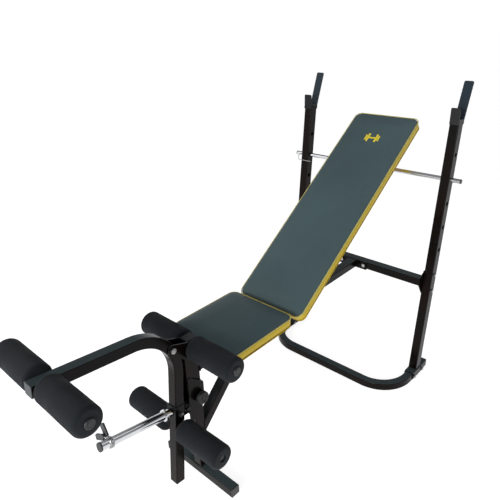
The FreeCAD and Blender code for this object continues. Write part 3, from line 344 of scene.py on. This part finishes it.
black_plastic = moulded("moulded_black_polyethylene", "#0f1011", "#1a1c1e", 0.42)
grey_plastic = moulded("moulded_grey_polyethylene", "#1f2325", "#2f3335", 0.48)
sleeve_rubber = moulded("moulded_black_rubber", "#0c0d0e", "#141516", 0.66)
coat(black_plastic, "base_tube_caps", "front_foot_caps", "post_top_cap", "backrest_rail_caps",
     "support_bar_caps", "peg_end_cap")
coat(grey_plastic, "lever_end_caps", "pivot_bush")
coat(sleeve_rubber, "stop_sleeve")

# ---------------------------------------------------------------- bolts and springs
# Hexagon bolts, nuts, spacers and the spring wire: steel with a bright zinc plate, slightly
# cloudy, with a faint yellow and blue cast where the bath ran thin.
zinc, tree, surface, place = new_finish("bright_zinc_plated_steel", Metallic=1.0)
cast = node(tree, "ShaderNodeTexNoise", {"Vector": place, "Scale": 160.0, "Detail": 4.0})
tone = node(tree, "ShaderNodeMix",
            {"Factor": cast.outputs["Fac"], 6: linear("#94928c"), 7: linear("#b2b4b7")}, data_type="RGBA")
tree.links.new(tone.outputs[2], surface.inputs["Base Color"])
cloudy = node(tree, "ShaderNodeMapRange", {0: cast.outputs["Fac"], 1: 0.3, 2: 0.7, 3: 0.22, 4: 0.40})
tree.links.new(cloudy.outputs[0], surface.inputs["Roughness"])
black_oxide = new_finish("black_oxide_steel", Metallic=1.0, Roughness=0.36, Base_Color=linear("#242322"))[0]
coat(black_oxide, "stop_bolt")
coat(zinc, "saddle_bolts", "crossbar_bolts", "beam_flange_bolts", "pivot_bolt", "clamp_bolt",
     "peg_saddle_bolt", "hinge_bolt", "hinge_spacers", "seat_screws", "backrest_screws", "collar_spring",
     "support_bar_clip")

# ---------------------------------------------------------------- chromed bars
# The support bar, the weight peg and the roller rods are drawn steel tube with polished
# chrome: mirror bright, with light handling smears.
chrome, tree, surface, place = new_finish("polished_chrome_plate", Metallic=1.0)
smear = node(tree, "ShaderNodeTexNoise", {"Vector": place, "Scale": 30.0, "Detail": 5.0, "Roughness": 0.6})
tone = node(tree, "ShaderNodeMix",
            {"Factor": smear.outputs["Fac"], 6: linear("#c3c4c6"), 7: linear("#dcdddf")}, data_type="RGBA")
tree.links.new(tone.outputs[2], surface.inputs["Base Color"])
shine = node(tree, "ShaderNodeMapRange", {0: smear.outputs["Fac"], 1: 0.35, 2: 0.75, 3: 0.05, 4: 0.20})
tree.links.new(shine.outputs[0], surface.inputs["Roughness"])
coat(chrome, "support_bar", "weight_peg", "upper_roller_rod", "lower_roller_rod", "front_roller_rod")

# ---------------------------------------------------------------- plywood boards
# Both pads are stapled over 12 mm birch plywood, left raw. Its grain runs along the bench.
plywood, tree, surface, place = new_finish("raw_birch_plywood", Roughness=0.78)
stretch = node(tree, "ShaderNodeMapping", {"Vector": place, "Scale": (1.0, 0.07, 1.0)})
figure = node(tree, "ShaderNodeTexNoise", {"Vector": stretch.outputs[0], "Scale": 120.0, "Detail": 6.0})
tone = node(tree, "ShaderNodeMix",
            {"Factor": figure.outputs["Fac"], 6: linear("#a27c50"), 7: linear("#cfae7d")}, data_type="RGBA")
tree.links.new(tone.outputs[2], surface.inputs["Base Color"])
relief = node(tree, "ShaderNodeBump", {"Height": figure.outputs["Fac"], "Strength": 0.2, "Distance": 0.0004})
tree.links.new(relief.outputs[0], surface.inputs["Normal"])
coat(plywood, "seat_board", "backrest_board")

# ---------------------------------------------------------------- seat pad
# Foam in a sewn vinyl cover, pulled over the board: a dark grained top panel, a pale piped
# seam, and a smooth yellow band round the side. The stuffing pushes the top into a low
# crown and rounds the band between the seam and the board.
GRAIN = 0.0026          # drawn about twice as coarse as real grain, so that it shows
CREASE_SHADE = 0.32     # how much painted shade darkens the grain's creases
PIPING_RADIUS = 0.0016
SEAM_RISE = 0.030
START_THICK = 0.034
COVER_LIFT = 0.0006
TOP_ROUND = 0.006
SEAM_NEAR = 0.003
SIDE_NEAR = 0.004
PAD_CORNER = 0.024
PAD_VOXEL = 0.005
STUFFING_CAP = 0.0055
STAPLE_CROWN = (0.0105, 0.0012, 0.0007)
STAPLE_STEP = 0.034
STAPLE_IN = 0.013
STAPLE_UNDER = 0.0012
STAPLE_SKEW = 14
HEM_WIDE = 0.020
HEM_THICK = 0.0009


def vinyl(name, dark, light, roughness, grain_depth, sheen):
    made, tree, surface, place = new_finish(name, Roughness=roughness, Specular_IOR_Level=0.22, IOR=1.5,
                                            Sheen_Weight=sheen, Sheen_Roughness=0.45)
    pebbles = node(tree, "ShaderNodeTexVoronoi", {"Vector": place, "Scale": 1 / GRAIN, "Randomness": 1.0},
                   feature="DISTANCE_TO_EDGE")
    creases = node(tree, "ShaderNodeTexNoise", {"Vector": place, "Scale": 130.0, "Detail": 5.0})
    hide = node(tree, "ShaderNodeMath", {0: pebbles.outputs["Distance"], 1: creases.outputs["Fac"]},
                operation="MULTIPLY")
    relief = node(tree, "ShaderNodeBump",
                  {"Height": hide.outputs[0], "Strength": grain_depth, "Distance": 0.0006})
    tree.links.new(relief.outputs[0], surface.inputs["Normal"])
    handled = node(tree, "ShaderNodeTexNoise", {"Vector": place, "Scale": 4.5, "Detail": 3.0})
    tone = node(tree, "ShaderNodeMix", {"Factor": handled.outputs["Fac"], 6: linear(dark), 7: linear(light)},
                data_type="RGBA")
    # Painted shade: the grain's creases are darkened in the colour.
    crease_shade_mask = node(tree, "ShaderNodeMapRange",
                  {0: pebbles.outputs["Distance"], 1: 0.0, 2: 0.16, 3: 0.25, 4: 1.0})
    crease_painted_shade = node(tree, "ShaderNodeMix", {"Factor": CREASE_SHADE, 6: tone.outputs[2], 7: crease_shade_mask.outputs[0]},
                   data_type="RGBA", blend_type="MULTIPLY")
    tree.links.new(crease_painted_shade.outputs[2], surface.inputs["Base Color"])
    polish = node(tree, "ShaderNodeMapRange", {0: handled.outputs["Fac"], 1: 0.3, 2: 0.7, 3: roughness + 0.05,
                                               4: roughness - 0.06})
    tree.links.new(polish.outputs[0], surface.inputs["Roughness"])
    return made


dark_vinyl = vinyl("grained_grey_green_vinyl", "#3b4a4e", "#4b5f62", 0.45, 0.7, 0.0)
yellow_vinyl = vinyl("smooth_yellow_vinyl", "#b99f14", "#cdb324", 0.44, 0.2, 0.0)
piping_vinyl = vinyl("pale_yellow_piping_vinyl", "#a9a25c", "#c2ba78", 0.45, 0.15, 0.0)


def pick(kind, test):
    """Selects what passes a test in the mesh that is open for editing, and nothing else."""
    bpy.ops.mesh.select_mode(type=kind)
    bpy.ops.mesh.select_all(action="DESELECT")
    mesh = bmesh.from_edit_mesh(bpy.context.edit_object.data)
    for item in {"VERT": mesh.verts, "EDGE": mesh.edges, "FACE": mesh.faces}[kind]:
        if test(item):
            item.select_set(True)
    mesh.select_flush_mode()
    bmesh.update_edit_mesh(bpy.context.edit_object.data)


def apply_modifier(modifier):
    bpy.ops.object.modifier_apply(modifier=modifier.name)


def stuffed_cover(name, half, front, rear, corner):
    """A stuffed cover that lies flat, with its underside at height 0 and its seam pinned."""
    deselect()
    bpy.ops.mesh.primitive_cube_add(size=1, location=(0, (front + rear) / 2, START_THICK / 2 + COVER_LIFT))
    cover = bpy.context.object
    cover.name = name
    cover.scale = (2 * half, rear - front, START_THICK)
    bpy.ops.object.transform_apply(location=True, rotation=True, scale=True)
    bpy.ops.object.mode_set(mode="EDIT")
    pick("EDGE", lambda e: abs(e.verts[0].co.z - e.verts[1].co.z) > 0.01)
    bpy.ops.mesh.bevel(offset=corner, offset_type="OFFSET", segments=8)
    top = START_THICK + COVER_LIFT
    pick("EDGE", lambda e: all(abs(v.co.z - top) < 1e-5 for v in e.verts) and len(e.link_faces) == 2)
    bpy.ops.mesh.bevel(offset=TOP_ROUND, offset_type="OFFSET", segments=4)
    bpy.ops.object.mode_set(mode="OBJECT")
    remesh = cover.modifiers.new("even_mesh", "REMESH")
    remesh.mode = "VOXEL"
    remesh.voxel_size = PAD_VOXEL
    apply_modifier(remesh)
    rest = [v.co.copy() for v in cover.data.vertices]
    held = cover.vertex_groups.new(name="held")
    for v in cover.data.vertices:
        near_side = min(half - abs(v.co.x), v.co.y - front, rear - v.co.y) < SIDE_NEAR
        near_corner = (abs(v.co.x) > half - corner * 0.5
                       and (v.co.y - front < corner * 0.5 or rear - v.co.y < corner * 0.5))
        if v.co.z < SEAM_NEAR:
            held.add([v.index], 1.0, "REPLACE")
        elif abs(v.co.z - SEAM_RISE) < SEAM_NEAR and (near_side or near_corner):
            held.add([v.index], 0.92, "REPLACE")
    cloth = cover.modifiers.new("stuffing", "CLOTH")
    cloth.settings.use_pressure = True
    cloth.settings.uniform_pressure_force = 4.0
    cloth.settings.vertex_group_mass = "held"
    cloth.settings.effector_weights.gravity = 0.0
    cloth.settings.tension_stiffness = 25
    cloth.settings.bending_stiffness = 2.0
    cloth.settings.quality = 5
    for step in range(1, 21):
        scene.frame_set(step)
    apply_modifier(cloth)
    scene.frame_set(1)
    for v, start in zip(cover.data.vertices, rest):
        moved = v.co - start
        if moved.length > STUFFING_CAP:
            v.co = start + moved.normalized() * STUFFING_CAP
    calm = cover.modifiers.new("calm", "SMOOTH")
    calm.factor = 0.5
    calm.iterations = 4
    apply_modifier(calm)
    finer = cover.modifiers.new("finer", "SUBSURF")
    finer.levels = 1
    finer.render_levels = 1
    apply_modifier(finer)
    cover.data.materials.append(dark_vinyl)
    cover.data.materials.append(yellow_vinyl)
    for face in cover.data.polygons:
        face.material_index = 0 if face.center.z > SEAM_RISE else 1
    bpy.ops.object.shade_smooth()
    return cover


def staple_rows(name, body, half, front, rear, place_at):
    """Wire staples round the hem, their crowns set askew by turns as a hand gun leaves them."""
    deselect()
    bpy.ops.mesh.primitive_cube_add(size=1)
    staple = bpy.context.object
    staple.name = name
    staple.scale = STAPLE_CROWN
    bpy.ops.object.transform_apply(location=True, rotation=True, scale=True)
    bpy.ops.object.mode_set(mode="EDIT")
    pick("EDGE", lambda e: all(v.co.z < 0 for v in e.verts))
    bpy.ops.mesh.bevel(offset=STAPLE_CROWN[2] * 0.45, offset_type="OFFSET", segments=2)
    bpy.ops.object.mode_set(mode="OBJECT")
    rows, columns = round((rear - front) / STAPLE_STEP), round(2 * half / STAPLE_STEP)
    spots = [(side * half, front + (rear - front) * (i + 0.5) / rows, 90)
             for side in (-1, 1) for i in range(rows)]
    spots += [(-half + 2 * half * (i + 0.5) / columns, end, 0)
              for end in (front, rear) for i in range(columns)]
    gathered = bmesh.new()
    for count, (x, y, turn) in enumerate(spots):
        crown = staple.data.copy()
        askew = STAPLE_SKEW * math.sin(2.4 * count)
        crown.transform(place_at @ along("Z", turn + askew, x, y, -STAPLE_UNDER))
        gathered.from_mesh(crown)
        bpy.data.meshes.remove(crown)
    gathered.to_mesh(staple.data)
    gathered.free()
    staple.data.materials.append(zinc)
    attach(staple, body)


def upholster(prefix, body, half, front, rear, place_at, replaced):
    """The cover, its piping and the stapled hem under the board, set in place."""
    cover = stuffed_cover(prefix + "_cover", half - 0.0015, front + 0.001, rear - 0.001, PAD_CORNER)
    cover.data.transform(place_at)
    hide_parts(replaced)
    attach(cover, body)
    middle = (front + rear) / 2
    piping = loop_cord(prefix + "_piping", 2 * half - 0.002, rear - front - 0.001, PAD_CORNER, PIPING_RADIUS,
                       place_at @ Matrix.Translation((0, middle, SEAM_RISE)))
    piping.data.materials.append(piping_vinyl)
    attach(piping, body)
    deselect()
    bpy.ops.mesh.primitive_plane_add(size=1)
    hem = bpy.context.object
    hem.name = prefix + "_hem"
    hem.scale = (2 * half - 0.004, rear - front - 0.004, 1)
    bpy.ops.object.transform_apply(location=False, rotation=False, scale=True)
    bpy.ops.object.mode_set(mode="EDIT")
    bpy.ops.mesh.select_all(action="SELECT")
    bpy.ops.mesh.bevel(offset=PAD_CORNER - 0.002, offset_type="OFFSET", segments=8, affect="VERTICES")
    bpy.ops.mesh.select_all(action="SELECT")
    bpy.ops.mesh.inset(thickness=HEM_WIDE)
    bpy.ops.mesh.delete(type="FACE")
    bpy.ops.object.mode_set(mode="OBJECT")
    fold = hem.modifiers.new("thickness", "SOLIDIFY")
    fold.thickness = HEM_THICK
    fold.offset = 0
    apply_modifier(fold)
    hem.data.transform(place_at @ Matrix.Translation((0, middle, -0.0005)))
    hem.data.materials.append(yellow_vinyl)
    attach(hem, body)
    staple_rows(prefix + "_staples", body, half - STAPLE_IN, front + STAPLE_IN, rear - STAPLE_IN, place_at)
    return cover


seat_low, seat_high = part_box("seat_pad")
upholster("seat", "frame", seat_high[0], seat_low[1], seat_high[1],
          Matrix.Translation((0, 0, seat_low[2])), "seat_pad")

# ---------------------------------------------------------------- backrest pad
# The same making as the seat, longer, and tipped back on two rails that rest on the
# support bar. Its lower end turns about the hinge bolt.
BACK_START = 0.006
BACK_LENGTH = 0.888
RAIL_DEEP = 0.040
bar_low, bar_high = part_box("support_bar")
bar_radius = (bar_high[2] - bar_low[2]) / 2
hinge = Vector(next(j for j in frame["joints"] if j["name"] == "backrest_hinge")["pos_m"])
reach = Vector([(bar_low[i] + bar_high[i]) / 2 - hinge[i] for i in (1, 2)])
lean_angle = math.atan2(reach.y, reach.x) + math.asin((RAIL_DEEP / 2 + bar_radius + 0.0003) / reach.length)
back_frame = Matrix.Translation(hinge) @ Matrix.Rotation(lean_angle, 4, "X")
back_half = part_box("backrest_pad")[1][0]
back_face = back_frame @ Matrix.Translation((0, 0, RAIL_DEEP / 2))
back_cover = upholster("backrest", "backrest", back_half, BACK_START, BACK_LENGTH, back_face, "backrest_pad")

# ---------------------------------------------------------------- printed mark
# A small dumbbell printed in yellow ink near the head end: a bar and two plates a side. Each
# block of ink is a fine grid laid down on the vinyl, so that it follows the crown.
INK_LIFT = 0.0003
INK_GRID = 0.0015
MARK_UP = 0.762
INK_BLOCKS = ((0.0, 0.025, 0.007), (0.0165, 0.008, 0.038), (-0.0165, 0.008, 0.038),
              (0.0255, 0.007, 0.025), (-0.0255, 0.007, 0.025))
ink, tree, surface, place = new_finish("yellow_screen_ink", Roughness=0.5, Base_Color=linear("#d8c42c"))
deselect()
blocks = []
for across, ink_wide, ink_tall in INK_BLOCKS:
    bpy.ops.mesh.primitive_grid_add(x_subdivisions=round(ink_wide / INK_GRID),
                                    y_subdivisions=round(ink_tall / INK_GRID), size=1)
    block = bpy.context.object
    block.scale = (ink_wide, ink_tall, 1)
    block.location = (across, MARK_UP, 0)
    bpy.ops.object.transform_apply(location=True, rotation=True, scale=True)
    blocks.append(block)
deselect()
for block in blocks:
    block.select_set(True)
bpy.context.view_layer.objects.active = blocks[0]
bpy.ops.object.join()
mark = bpy.context.object
mark.name = "printed_mark"
mark.data.transform(back_face @ Matrix.Translation((0, 0, 2 * START_THICK)))
face_up = (back_face.to_3x3() @ Vector((0, 0, 1))).normalized()
for v in mark.data.vertices:
    found, at = back_cover.ray_cast(v.co, -face_up)[:2]
    if found:
        v.co = at + face_up * INK_LIFT
mark.data.materials.append(ink)
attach(mark, "backrest")

# ---------------------------------------------------------------- foam rollers
# Sleeves of dense charcoal foam rubber pushed on to the rods. The skin is matt with fine
# open cells, the cut ends are rounded, and the sleeves aren't perfectly even.
FOAM_ROUND = 0.009
FOAM_CELL = 0.0016
FOAM_LUMP = 0.045
FOAM_UNEVEN = 0.0022
foam, tree, surface, place = new_finish("charcoal_foam_rubber", Roughness=0.88, Specular_IOR_Level=0.18,
                                        Sheen_Weight=0.06, Sheen_Roughness=0.6)
cells = node(tree, "ShaderNodeTexVoronoi", {"Vector": place, "Scale": 1 / FOAM_CELL})
lumps = node(tree, "ShaderNodeTexNoise", {"Vector": place, "Scale": 26.0, "Detail": 5.0})
tone = node(tree, "ShaderNodeMix",
            {"Factor": lumps.outputs["Fac"], 6: linear("#080c11"), 7: linear("#0d141a")}, data_type="RGBA")
pores = node(tree, "ShaderNodeMapRange", {0: cells.outputs["Distance"], 1: 0.1, 2: 0.7, 3: 0.0, 4: 0.25})
speckled = node(tree, "ShaderNodeMix", {"Factor": pores.outputs[0], 6: tone.outputs[2], 7: linear("#15181c")},
                data_type="RGBA")
tree.links.new(speckled.outputs[2], surface.inputs["Base Color"])
relief = node(tree, "ShaderNodeBump",
              {"Height": cells.outputs["Distance"], "Strength": 0.5, "Distance": 0.0007})
tree.links.new(relief.outputs[0], surface.inputs["Normal"])

upper_low, upper_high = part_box("upper_roller_right")
foam_length = upper_high[0] - upper_low[0]
foam_radius = (upper_high[2] - upper_low[2]) / 2
rod_low, rod_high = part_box("upper_roller_rod")
rod_radius = (rod_high[2] - rod_low[2]) / 2
deselect()
bpy.ops.mesh.primitive_cylinder_add(vertices=64, radius=foam_radius, depth=foam_length,
                                    rotation=(0, math.radians(90), 0))
sleeve = bpy.context.object
sleeve.name = "foam_sleeve"
bpy.ops.object.transform_apply(location=True, rotation=True, scale=True)
bpy.ops.object.mode_set(mode="EDIT")
pick("FACE", lambda f: abs(f.normal.x) > 0.9)
bpy.ops.mesh.inset(thickness=foam_radius - rod_radius - 0.0001, use_individual=True)
bpy.ops.mesh.delete(type="FACE")
pick("EDGE", lambda e: e.is_boundary)
bpy.ops.mesh.bridge_edge_loops()
pick("EDGE", lambda e: all(abs(abs(v.co.x) - foam_length / 2) < 1e-5 for v in e.verts)
     and all(math.hypot(v.co.y, v.co.z) > foam_radius - 0.0005 for v in e.verts))
bpy.ops.mesh.bevel(offset=FOAM_ROUND, offset_type="OFFSET", segments=6)
pick("EDGE", lambda e: abs(e.verts[0].co.x - e.verts[1].co.x) > foam_length * 0.5)
bpy.ops.mesh.subdivide(number_cuts=22)
bpy.ops.object.mode_set(mode="OBJECT")
uneven = bpy.data.textures.new("foam_lumps", "CLOUDS")
uneven.noise_scale = FOAM_LUMP
foam_turns = {"upper_roller_right": 0, "upper_roller_left": 75, "lower_roller_right": 140,
              "lower_roller_left": 215, "front_roller_right": 290, "front_roller_left": 340}
for name, turn in foam_turns.items():
    low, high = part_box(name)
    deselect()
    sleeve.select_set(True)
    bpy.context.view_layer.objects.active = sleeve
    bpy.ops.object.duplicate()
    piece = bpy.context.object
    piece.name = name.replace("roller", "foam")
    piece.data.transform(Matrix.Rotation(math.radians(turn), 4, "X"))
    piece.data.transform(Matrix.Translation([(low[i] + high[i]) / 2 for i in range(3)]))
    lumpy = piece.modifiers.new("uneven", "DISPLACE")
    lumpy.texture = uneven
    lumpy.strength = FOAM_UNEVEN
    lumpy.mid_level = 0.62
    outside = piece.vertex_groups.new(name="outside")
    centre_y, centre_z = (low[1] + high[1]) / 2, (low[2] + high[2]) / 2
    far = [v.index for v in piece.data.vertices
           if math.hypot(v.co.y - centre_y, v.co.z - centre_z) > foam_radius * 0.6]
    outside.add(far, 1.0, "REPLACE")
    lumpy.vertex_group = "outside"
    apply_modifier(lumpy)
    piece.data.materials.append(foam)
    bpy.ops.object.shade_smooth_by_angle(angle=math.radians(35))
    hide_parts(name)
    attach(piece, nodes[name]["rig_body"])
bpy.data.objects.remove(sleeve)

# ---------------------------------------------------------------- rod plugs
# Mushroom plugs pressed into the rod ends, which keep the foam on: satin black plastic with
# a domed head and a shallow moulded ring. The lower rod's plugs are flush with its wall.
PLUG_HEIGHT = 0.005


def rod_plug(name, head_radius, at, side):
    deselect()
    bpy.ops.mesh.primitive_cylinder_add(vertices=48, radius=head_radius, depth=PLUG_HEIGHT,
                                        location=(0, 0, PLUG_HEIGHT / 2))
    plug = bpy.context.object
    plug.name = name
    bpy.ops.object.transform_apply(location=True, rotation=True, scale=True)
    bpy.ops.object.mode_set(mode="EDIT")
    pick("EDGE", lambda e: all(v.co.z > PLUG_HEIGHT - 1e-5 for v in e.verts))
    bpy.ops.mesh.bevel(offset=PLUG_HEIGHT * 0.55, offset_type="OFFSET", segments=5)
    pick("FACE", lambda f: f.normal.z > 0.99 and f.calc_center_median().z > PLUG_HEIGHT - 1e-4)
    bpy.ops.mesh.inset(thickness=head_radius * 0.16)
    bpy.ops.mesh.extrude_region_move(TRANSFORM_OT_translate={"value": (0, 0, -0.0006)})
    bpy.ops.mesh.inset(thickness=head_radius * 0.08)
    bpy.ops.mesh.extrude_region_move(TRANSFORM_OT_translate={"value": (0, 0, 0.0007)})
    bpy.ops.object.mode_set(mode="OBJECT")
    plug.data.transform(along("Y", 90 * side, *at))
    bpy.ops.object.shade_smooth_by_angle(angle=math.radians(30))
    plug.data.materials.append(black_plastic)
    return plug


def plug_set(name, body, replaced, rods):
    """Plugs for both ends of each rod, joined as one group."""
    plugs = []
    for rod, head in rods:
        low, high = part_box(rod)
        at_y, at_z = (low[1] + high[1]) / 2, (low[2] + high[2]) / 2
        plugs.append(rod_plug(name, head, (high[0], at_y, at_z), 1))
        plugs.append(rod_plug(name, head, (low[0], at_y, at_z), -1))
    deselect()
    for plug in plugs:
        plug.select_set(True)
    bpy.context.view_layer.objects.active = plugs[0]
    bpy.ops.object.join()
    group = bpy.context.object
    group.name = name
    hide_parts(replaced)
    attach(group, body)


plug_set("upper_rod_plugs", "frame", "upper_rod_caps", [("upper_roller_rod", 0.0125)])
plug_set("lever_rod_plugs", "leg_lever_unit", "lever_rod_caps",
         [("front_roller_rod", 0.0125), ("lower_roller_rod", rod_radius)])

# ---------------------------------------------------------------- clamp knob
# A moulded black knob on the long clamp bolt: a rounded rim with small finger notches, a
# dished face and a tapered boss towards the bracket.
NOTCHES = 15
NOTCH_DEPTH = 0.0012
knob_low, knob_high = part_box("clamp_knob")
knob_radius = (knob_high[2] - knob_low[2]) / 2
knob_deep = knob_high[0] - knob_low[0]
rim_deep = knob_deep * 0.72
deselect()
bpy.ops.mesh.primitive_cylinder_add(vertices=NOTCHES * 4, radius=knob_radius, depth=rim_deep,
                                    location=(0, 0, knob_deep - rim_deep / 2))
knob = bpy.context.object
knob.name = "notched_knob"
bpy.ops.object.transform_apply(location=True, rotation=True, scale=True)
bpy.ops.object.mode_set(mode="EDIT")
pick("FACE", lambda f: f.normal.z < -0.99)
bpy.ops.mesh.inset(thickness=knob_radius * 0.40)
bpy.ops.mesh.extrude_region_move(TRANSFORM_OT_translate={"value": (0, 0, rim_deep - knob_deep)})
bpy.ops.transform.resize(value=(0.85, 0.85, 1), center_override=(0, 0, 0))
pick("EDGE", lambda e: all(abs(math.hypot(v.co.x, v.co.y) - knob_radius) < 1e-5 for v in e.verts)
     and abs(e.verts[0].co.z - e.verts[1].co.z) < 1e-5)
bpy.ops.mesh.bevel(offset=0.0035, offset_type="OFFSET", segments=4)
pick("FACE", lambda f: f.normal.z > 0.99)
bpy.ops.mesh.inset(thickness=0.005)
bpy.ops.mesh.extrude_region_move(TRANSFORM_OT_translate={"value": (0, 0, -0.0015)})
bpy.ops.transform.resize(value=(0.93, 0.93, 1), center_override=(0, 0, 0))
bpy.ops.mesh.inset(thickness=0.004)
bpy.ops.mesh.extrude_region_move(TRANSFORM_OT_translate={"value": (0, 0, 0.0012)})


def in_notch(face):
    centre = face.calc_center_median()
    step = math.floor(math.degrees(math.atan2(centre.y, centre.x)) % 360 / (360 / (NOTCHES * 4)))
    return abs(face.normal.z) < 0.05 and math.hypot(centre.x, centre.y) > knob_radius * 0.9 and step % 4 == 0


pick("FACE", in_notch)
bpy.ops.mesh.inset(thickness=0.0003, use_individual=True)
bpy.ops.transform.resize(value=((knob_radius - NOTCH_DEPTH) / knob_radius,) * 2 + (1,),
                         center_override=(0, 0, 0))
bpy.ops.object.mode_set(mode="OBJECT")
knob_y, knob_z = (knob_low[1] + knob_high[1]) / 2, (knob_low[2] + knob_high[2]) / 2
knob.data.transform(along("Y", 90, knob_low[0], knob_y, knob_z))
bpy.ops.object.shade_smooth_by_angle(angle=math.radians(40))
knob.data.materials.append(sleeve_rubber)
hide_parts("clamp_knob")
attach(knob, "clamp_screw")

# ---------------------------------------------------------------- collar grips
# Flat plastic grips pushed over the ends of the collar's spring wire, grey and satin.
coat(grey_plastic, "collar_grips")

low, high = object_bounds()
